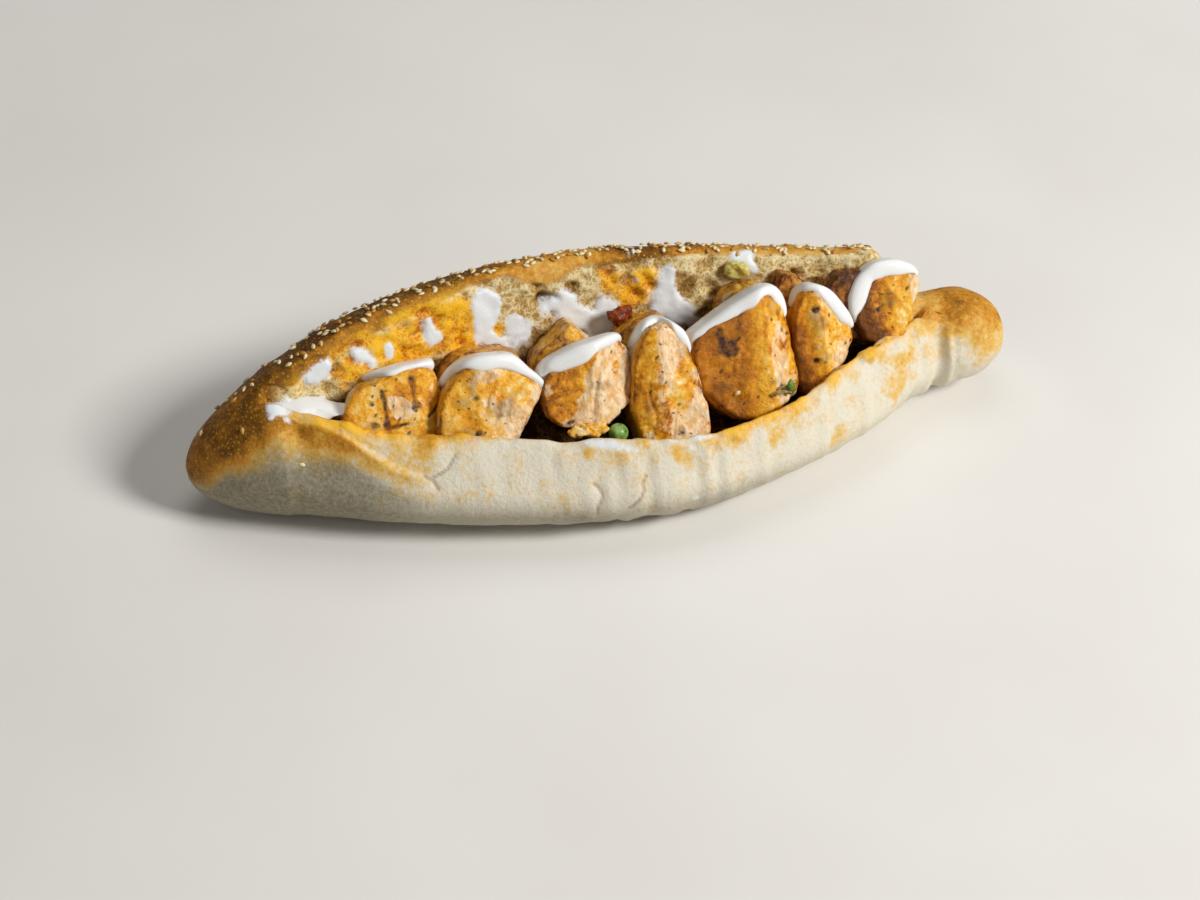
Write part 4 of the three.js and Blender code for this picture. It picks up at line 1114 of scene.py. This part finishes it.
def chicken_material(name, look, gold, deep, roasted):
    """Grilled chicken: golden and orange marinade over pale fibrous flesh, browned at the edges and
    darkened there by painted shade, with dark flecks of dried herb; moist with oil, so it is fairly smooth
    and shines softly."""
    material, add, coords = blank(name)
    read = {k: add("Attribute", attribute_name=k)["Fac"] for k in CHUNK_FIELDS}
    combed = add("Mapping", {"Vector": coords, "Rotation": (0.6, 0.15, 0), "Scale": (1, 1, 0.16)})[0]
    broad, fine, strand = (
        add("TexNoise", {
            "Vector": where, "Scale": per(size), "Detail": detail, "Roughness": rough,
            "Distortion": bend})["Fac"]
        for where, size, detail, rough, bend in (
            (coords, 9, 8, 0.68, 0.5), (coords, 2.2, 6, 0.68, 0), (combed, 1.8, 5, 0.6, 0)))
    # Marinade: yellower or browner by the chunk's own tone, which holds painted shade on left faces and
    # painted light on right ones; browner at the rim, partly as painted shade where chunks meet; broken up
    # by both noises
    uneven = -0.85
    for value, weight in ((broad, 1.0), (fine, 0.7)):
        uneven = add("Math", (value, weight, uneven), operation="MULTIPLY_ADD")[0]
    yellow = 0.51
    for value, weight in ((read["tone"], 0.22), (uneven, read["vary"]), (read["edge"], -0.14)):
        yellow = add("Math", (value, weight, yellow), operation="MULTIPLY_ADD")[0]
    colour = add("ValToRGB", (yellow,), (
        (0.28, roasted), (0.4, deep), (0.53, gold), (0.66, look.yellow), (0.8, look.straw)))[0]
    # Bare flesh: torn patches that show through the marinade, in pale strands
    pale = add("MapRange", (strand, 0.36, 0.62))[0]
    meat = add("Mix", {0: pale, 6: look.flesh, 7: look.flesh_pale}, data_type="RGBA")[2]
    tear = read["flesh"]
    for value, weight in ((fine, 1.5), (broad, 0.9)):
        tear = add("Math", (value, weight, tear), operation="MULTIPLY_ADD")[0]
    bare = add("MapRange", (tear, 1.58, 2.05, 0, 0.88), interpolation_type="SMOOTHSTEP")[0]
    patchy = add("MapRange", (fine, 0.32, 0.58, 0.25, 1.15))[0]
    burn = add("Math", (read["char"], patchy), operation="MULTIPLY", use_clamp=True)[0]
    layers = [(bare, meat), (burn, look.char)]
    # Herb flecks, 0.6 to 0.9 mm wide and 2.4 times as long, lying in two directions
    for turn, size, limit in ((0.6, 2.6, 0.6), (-1.0, 1.8, 0.78)):
        laid = add("Mapping", {
            "Vector": coords, "Rotation": (0, turn, 0), "Scale": (1, 1, 2.4)}, vector_type="TEXTURE")[0]
        herb = add("TexVoronoi", {"Vector": laid, "Scale": per(size)}, feature="F1")
        pick = add("SeparateColor", (herb["Color"],))
        ragged = herb["Distance"]
        for value, weight in ((fine, -0.4), (pick[2], 0.12)):
            ragged = add("Math", (value, weight, ragged), operation="MULTIPLY_ADD")[0]
        fleck = add("MapRange", (ragged, -0.03, 0.09, 0.8, 0), interpolation_type="SMOOTHSTEP")[0]
        chosen = add("Math", (pick[0], limit), operation="GREATER_THAN")[0]
        fleck = add("Math", (fleck, chosen), operation="MULTIPLY")[0]
        leaf = add("Mix", {0: pick[1], 6: look.herb, 7: look.char}, data_type="RGBA")[2]
        layers.append((fleck, leaf))
    for share, layer in layers:
        colour = add("Mix", {0: share, 6: colour, 7: layer}, data_type="RGBA")[2]
    rough = add("MapRange", (fine, 0.3, 0.7, 0.22, 0.42))[0]
    grain = add("Mix", {0: read["flesh"], 2: fine, 3: strand}, data_type="FLOAT")[0]
    bump = add("Bump", {"Strength": 0.75, "Distance": 1.2 * MM, "Height": grain})[0]
    surface = add("BsdfPrincipled", {
        "Base Color": colour, "Roughness": rough, "Normal": bump, "IOR": 1.42, "Specular IOR Level": 0.38,
        "Subsurface Weight": 0.06, "Subsurface Radius": (1.0, 0.45, 0.2), "Subsurface Scale": 1.5 * MM,
        "Coat Weight": 0.12, "Coat Roughness": 0.14,
    })
    add("OutputMaterial", {"Surface": surface["BSDF"]})
    return material


def sauce_material(look):
    """Thick garlic and yoghurt sauce: opaque warm white, smooth and wet, with light that spreads a little
    below the surface."""
    material, add, coords = blank("Garlic yoghurt sauce")
    ripple = add("TexNoise", {"Vector": coords, "Scale": per(7), "Detail": 2})["Fac"]
    colour = add("Mix", {0: ripple, 6: look.white, 7: look.shade}, data_type="RGBA")[2]
    bump = add("Bump", {"Strength": 0.15, "Distance": 0.8 * MM, "Height": ripple})[0]
    surface = add("BsdfPrincipled", {
        "Base Color": colour, "Roughness": 0.24, "Normal": bump, "IOR": 1.4, "Subsurface Weight": 0.3,
        "Subsurface Radius": (1.0, 0.9, 0.75), "Subsurface Scale": 2.5 * MM,
    })
    add("OutputMaterial", {"Surface": surface["BSDF"]})
    return material


def seed_material(look):
    """Hulled sesame: ivory, satin, some seeds toasted darker."""
    material, add, coords = blank("Hulled sesame")
    shade = add("Attribute", attribute_name="shade")["Fac"]
    grain = add("TexNoise", {"Vector": coords, "Scale": per(1.2), "Detail": 2})["Fac"]
    toasted = -0.1
    for value, weight in ((grain, 0.4), (shade, 1.0)):
        toasted = add("Math", (value, weight, toasted), operation="MULTIPLY_ADD")[0]
    colour = add("ValToRGB", (toasted,), ((0.0, look.ivory), (0.6, look.ivory), (1.0, look.toasted)))[0]
    surface = add("BsdfPrincipled", {
        "Base Color": colour, "Roughness": 0.45, "IOR": 1.46, "Subsurface Weight": 0.15,
        "Subsurface Radius": (1.0, 0.8, 0.5), "Subsurface Scale": 1.0 * MM,
    })
    add("OutputMaterial", {"Surface": surface["BSDF"]})
    return material


def scrap_material(look, name, colours, grain, rough):
    """A moist vegetable scrap or a dry stem: two tones of one colour in patches of the given grain, from
    shiny to matt."""
    material, add, coords = blank(name)
    patch = add("TexNoise", {"Vector": coords, "Scale": per(grain), "Detail": 4, "Roughness": 0.6})["Fac"]
    dark, light = (getattr(look, colours + tone) for tone in ("_dark", "_light"))
    colour = add("ValToRGB", (patch,), ((0.35, dark), (0.68, light)))[0]
    bump = add("Bump", {"Strength": 0.25, "Distance": 0.4 * MM, "Height": patch})[0]
    surface = add("BsdfPrincipled", {
        "Base Color": colour, "Roughness": rough, "Normal": bump, "IOR": 1.4, "Subsurface Weight": 0.15,
        "Subsurface Radius": (1.0, 0.8, 0.4), "Subsurface Scale": 1.5 * MM,
    })
    add("OutputMaterial", {"Surface": surface["BSDF"]})
    return material


def floor_material(look):
    """Matt painted board: pale, with a faint unevenness that keeps the light soft."""
    material, add, coords = blank("Matt painted board")
    cloud = add("TexNoise", {"Vector": coords, "Scale": per(160), "Detail": 3})["Fac"]
    colour = add("ValToRGB", (cloud,), ((0.3, look.floor_low), (0.7, look.floor)))[0]
    surface = add("BsdfPrincipled", {"Base Color": colour, "Roughness": 0.7})
    add("OutputMaterial", {"Surface": surface["BSDF"]})
    return material


def tint(name, description, code):
    """A colour that a user may change."""
    return FloatVectorProperty(
        name=name, description=description, subtype="COLOR", size=3, min=0, max=1, default=linear(code))


def length(name, description, millimetres):
    """A length that a user may change."""
    return FloatProperty(
        name=name, description=description, subtype="DISTANCE", unit="LENGTH", min=0,
        default=millimetres * MM)


class BreadSettings(bpy.types.PropertyGroup):
    rows: IntProperty(name="Rows", description="Rings of points along the loaf", default=330, min=40)
    columns: IntProperty(name="Columns", description="Points in each ring", default=290, min=40)
    relief: FloatProperty(
        name="Relief", description="Share of the crust's and crumb's relief", default=1, min=0)
    # Colour of the painted shade that greys the crust low on the front and at the blunt end
    dust: tint("Dust", "Dull, dusty crust low on the front and the blunt end", "#766e56")
    flour: tint("Flour", "Floury underside", "#dbd3be")
    pale: tint("Pale crust", "Barely baked crust", "#dcb25c")
    golden: tint("Golden crust", "Golden crust", "#c48424")
    brown: tint("Brown crust", "Well baked crust", "#7c4e0a")
    dark: tint("Dark crust", "Darkest crust", "#42290a")
    blister: tint("Blister", "Pale specks on the brown crust", "#d9a53c")
    web: tint("Crumb web", "Thin walls between the pores", "#e8d8a8")
    crumb: tint("Crumb", "Body of the crumb", "#b28c48")
    # Colour of the deepest painted shade, on the floor of the cut and in deep pores
    soaked: tint("Soaked crumb", "Wet crumb on the floor of the cut", "#3a2208")
    # Colour of the painted shade inside the pores
    pore: tint("Pore", "Inside of the pores", "#6a481a")
    oil: tint("Oil", "Orange oil in the crumb", "#d07a06")
    turmeric: tint("Marinade", "Yellow marinade in the crumb", "#f5bc22")
    cream: tint("Smear", "Sauce smeared on the crumb", "#dfe2e3")


class SeedSettings(bpy.types.PropertyGroup):
    count: IntProperty(name="Count", description="Places for a seed on the crust", default=430, min=1)
    length: length("Length", "Length of a seed", 2.8)
    width: length("Width", "Width of a seed", 1.65)
    thickness: length("Thickness", "Thickness of a seed", 1.1)
    ivory: tint("Ivory", "Raw sesame", "#e6d5a6")
    toasted: tint("Toasted", "Toasted sesame", "#bd8428")


class ChickenSettings(bpy.types.PropertyGroup):
    rows: IntProperty(name="Rows", description="Rings of points on a front chunk", default=110, min=16)
    columns: IntProperty(name="Columns", description="Points in each ring", default=150, min=16)
    gold: tint("Gold", "Marinade, golden", "#da8c06")
    deep: tint("Deep", "Marinade, orange brown", "#a86206")
    yellow: tint("Yellow", "Marinade, yellow", "#ecb02a")
    straw: tint("Straw", "Marinade, thin and pale", "#efcf8c")
    roasted: tint("Roasted", "Marinade, roasted brown", "#723f06")
    brown_gold: tint("Browned gold", "Browned chunks, golden", "#c08430")
    brown_deep: tint("Browned deep", "Browned chunks, brown", "#8a4c10")
    brown_dark: tint("Browned dark", "Browned chunks, darkest", "#4c2608")
    flesh: tint("Flesh", "Cooked flesh", "#dcaa6a")
    flesh_pale: tint("Pale flesh", "Pale strands of flesh", "#f2ddb8")
    char: tint("Char", "Charred spots", "#3b1d0c")
    herb: tint("Herb", "Dried herb flecks", "#453a16")


class SauceSettings(bpy.types.PropertyGroup):
    thickness: length("Thickness", "Height of the thick sauce over a chunk", 2.6)
    white: tint("White", "Sauce", "#f1f1ef")
    shade: tint("Shade", "Sauce, thinner places", "#e4e3de")


class ScrapSettings(bpy.types.PropertyGroup):
    pea_dark: tint("Dark pea", "Pea, darker patches", "#38691d")
    pea_light: tint("Light pea", "Pea, lighter patches", "#a2c06c")
    pepper_dark: tint("Dark pepper", "Red pepper, browned patches", "#4a1606")
    pepper_light: tint("Light pepper", "Red pepper, brighter patches", "#a84a18")
    pickle_dark: tint("Dark pickle", "Pickle, darker patches", "#b8a640")
    pickle_light: tint("Light pickle", "Pickle, lighter patches", "#e0d48c")
    herb_dark: tint("Dark herb", "Herb leaf, darker patches", "#3f5a1e")
    herb_light: tint("Light herb", "Herb leaf, lighter patches", "#7d9a45")
    stem_dark: tint("Dark stem", "Dry stem, darker patches", "#8d7a3c")
    stem_light: tint("Light stem", "Dry stem, lighter patches", "#c9b36c")
    stem: length("Stem", "Thickness of a dry herb stem", 0.8)


class StageSettings(bpy.types.PropertyGroup):
    floor: tint("Floor", "Painted board", "#e9e6e0")
    floor_low: tint("Floor, lower tone", "Painted board, faint patches", "#e2ded7")
    surround: tint("Surround", "Even light from all round", "#f2f0ec")
    focal: FloatProperty(name="Focal length", description="Camera lens in millimetres", default=87, min=10)
    distance: length("Distance", "Camera to the middle of the loaf", 1074)


class BaguetteSettings(bpy.types.PropertyGroup):
    bread: PointerProperty(type=BreadSettings, name="Bread", description="Loaf and its finish")
    seeds: PointerProperty(type=SeedSettings, name="Seeds", description="Sesame seeds")
    chicken: PointerProperty(type=ChickenSettings, name="Chicken", description="Chunks of chicken")
    sauce: PointerProperty(type=SauceSettings, name="Sauce", description="White sauce")
    scraps: PointerProperty(type=ScrapSettings, name="Scraps", description="Vegetable scraps and stems")
    stage: PointerProperty(type=StageSettings, name="Stage", description="Floor, light and camera")


class BAGUETTE_OT_bread(bpy.types.Operator):
    """Makes the loaf with its crust, crumb, stains and smeared sauce"""
    bl_idname = "baguette.bread"
    bl_label = "Bread"

    def execute(self, context):
        look = context.scene.baguette.bread
        add_piece("bread_loaf", build_bread(look), bread_material(look), "crust", "bread")
        return {"FINISHED"}


class BAGUETTE_OT_seeds(bpy.types.Operator):
    """Scatters sesame seeds over the browned crust"""
    bl_idname = "baguette.seeds"
    bl_label = "Sesame seeds"

    def execute(self, context):
        look = context.scene.baguette.seeds
        add_piece("sesame_seeds", build_seeds(look), seed_material(look), "crust", "bread")
        return {"FINISHED"}


class BAGUETTE_OT_front_chicken(bpy.types.Operator):
    """Makes the front row of chicken chunks"""
    bl_idname = "baguette.front_chicken"
    bl_label = "Front chicken"

    def execute(self, context):
        look = context.scene.baguette.chicken
        grilled = chicken_material("Grilled chicken", look, look.gold, look.deep, look.roasted)
        for seed, (name, spec) in enumerate(FRONT_CHUNKS.items(), FRONT_SEED):
            mesh = build_chunk(name, spec, FRONT_LEAN, look.rows, look.columns, seed)
            add_piece(name + "_chunk", mesh, grilled, "chicken", name)
        return {"FINISHED"}


class BAGUETTE_OT_back_chicken(bpy.types.Operator):
    """Makes the browned chunks behind the front row"""
    bl_idname = "baguette.back_chicken"
    bl_label = "Back chicken"

    def execute(self, context):
        look = context.scene.baguette.chicken
        tones = look.brown_gold, look.brown_deep, look.brown_dark
        browned = chicken_material("Browned chicken", look, *tones)
        for seed, (name, spec) in enumerate(BACK_CHUNKS.items(), BACK_SEED):
            mesh = build_chunk(name, spec, BACK_LEAN, look.rows * 2 // 3, look.columns * 2 // 3, seed)
            add_piece(name + "_chunk", mesh, browned, "browned_chicken", name)
        return {"FINISHED"}


class BAGUETTE_OT_sauce(bpy.types.Operator):
    """Lays the thick sauce over the front chunks and in the end of the cut"""
    bl_idname = "baguette.sauce"
    bl_label = "White sauce"

    def execute(self, context):
        look = context.scene.baguette.sauce
        sauce = sauce_material(look)
        for seed, (name, path) in enumerate(SAUCE_PATHS.items(), SAUCE_SEED):
            mesh = build_bead("sauce_on_" + name, FRONT_CHUNKS[name], path, look.thickness / MM, seed)
            add_piece("sauce_on_" + name, mesh, sauce, "sauce", name)
        add_piece("sauce_in_cut", build_pool(), sauce, "sauce", "sauce_pool")
        return {"FINISHED"}


class BAGUETTE_OT_scraps(bpy.types.Operator):
    """Makes the pea, the shred of chicken, the vegetable scraps, the herb stems and the stuck seed"""
    bl_idname = "baguette.scraps"
    bl_label = "Scraps"

    def execute(self, context):
        settings = context.scene.baguette
        look, meat, seeds = settings.scraps, settings.chicken, settings.seeds
        for seed, (name, spec) in enumerate(SCRAPS.items(), SCRAP_SEED):
            if "finish" in spec:
                material = scrap_material(look, *spec["finish"])
            else:
                material = chicken_material("Shredded chicken", meat, meat.gold, meat.deep, meat.roasted)
            add_piece(spec["piece"], build_scrap(name, spec, seed), material, spec["slot"], name)
        straw = scrap_material(look, "Dry herb stem", "stem", 2, 0.6)
        add_piece("herb_stems", build_stems(look), straw, "green_vegetable")
        chunk = bpy.data.objects[STUCK_SEED[0] + "_chunk"].data
        add_piece("stuck_seed", build_stuck_seed(chunk, seeds), seed_material(seeds), "crust")
        return {"FINISHED"}


class BAGUETTE_OT_stage(bpy.types.Operator):
    """Sets the floor, the studio lights and the camera"""
    bl_idname = "baguette.stage"
    bl_label = "Stage"

    def execute(self, context):
        look = context.scene.baguette.stage
        mesh = bpy.data.meshes.new("floor")
        corners = [(x * FLOOR_HALF, y * FLOOR_HALF, 0) for x, y in ((-1, -1), (1, -1), (1, 1), (-1, 1))]
        mesh.from_pydata(corners, [], [(0, 1, 2, 3)])
        mesh.materials.append(floor_material(look))
        floor = bpy.data.objects.new("floor", mesh)
        context.scene.collection.objects.link(floor)
        context.scene.view_settings.view_transform = "Standard"
        add_lights(context.scene, look)
        add_camera(context.scene, look)
        return {"FINISHED"}


def aim(thing, place, target):
    """Sets a light or camera at a place, looking at a target with its own Y upwards."""
    place, target = np.array(place, float), np.array(target, float)
    back = unit(place - target)
    right = unit(np.cross((0, 0, 1), back))
    up = np.cross(back, right)
    rows = [(right[k], up[k], back[k], place[k]) for k in range(3)]
    thing.matrix_world = Matrix((*rows, (0, 0, 0, 1)))


def add_lights(scene, look):
    """A soft key from the right front, a weak wide fill from the left front, a soft light from above and
    behind, and an even pale surround."""
    for name, (place, size, power) in LIGHTS.items():
        lamp = bpy.data.lights.new(name, "AREA")
        lamp.size = size
        lamp.energy = power
        thing = bpy.data.objects.new(name, lamp)
        scene.collection.objects.link(thing)
        aim(thing, place, LIGHT_AIM)
    world = bpy.data.worlds.new("studio")
    world.use_nodes = True
    surround = world.node_tree.nodes["Background"]
    surround.inputs["Color"].default_value = (*look.surround, 1)
    surround.inputs["Strength"].default_value = SURROUND
    scene.world = world


def add_camera(scene, look):
    """The camera of the photograph's view: 13 degrees to the left of the loaf's front, 42 degrees up."""
    azimuth, height = np.radians(VIEW)
    back = np.array((np.cos(height) * np.sin(azimuth), -np.cos(height) * np.cos(azimuth), np.sin(height)))
    right = np.array((np.cos(azimuth), np.sin(azimuth), 0))
    up = np.cross(back, right)
    middle = (np.array(PLAN_OFFSET) + VIEW_AIM[0] * right + VIEW_AIM[1] * up) * MM
    lens = bpy.data.cameras.new("camera")
    lens.lens = look.focal
    lens.sensor_width = SENSOR_WIDTH
    lens.clip_end = VIEW_END
    camera = bpy.data.objects.new("camera", lens)
    scene.collection.objects.link(camera)
    aim(camera, middle + look.distance * back, middle)
    scene.camera = camera


class BAGUETTE_PT_panel(bpy.types.Panel):
    """Lists the pieces of the baguette"""
    bl_idname = "BAGUETTE_PT_panel"
    bl_label = "Filled baguette"
    bl_space_type = "VIEW_3D"
    bl_region_type = "UI"
    bl_category = "Baguette"

    def draw(self, context):
        for operator in OPERATORS:
            self.layout.operator(operator.bl_idname)


OPERATORS = (
    BAGUETTE_OT_stage, BAGUETTE_OT_bread, BAGUETTE_OT_seeds, BAGUETTE_OT_front_chicken,
    BAGUETTE_OT_back_chicken, BAGUETTE_OT_sauce, BAGUETTE_OT_scraps,
)
GROUPS = (
    BreadSettings, SeedSettings, ChickenSettings, SauceSettings, ScrapSettings, StageSettings,
    BaguetteSettings,
)
CLASSES = (*GROUPS, *OPERATORS, BAGUETTE_PT_panel)


def register():
    for item in CLASSES:
        bpy.utils.register_class(item)
    bpy.types.Scene.baguette = PointerProperty(
        type=BaguetteSettings, name="Baguette", description="Sizes and colours of the baguette")


def unregister():
    del bpy.types.Scene.baguette
    for item in reversed(CLASSES):
        bpy.utils.unregister_class(item)


def main():
    """Builds every piece in order."""
    register()
    bpy.ops.baguette.stage()
    bpy.ops.baguette.bread()
    bpy.ops.baguette.seeds()
    bpy.ops.baguette.front_chicken()
    bpy.ops.baguette.back_chicken()
    bpy.ops.baguette.sauce()
    bpy.ops.baguette.scraps()


if __name__ == "__main__":
    main()
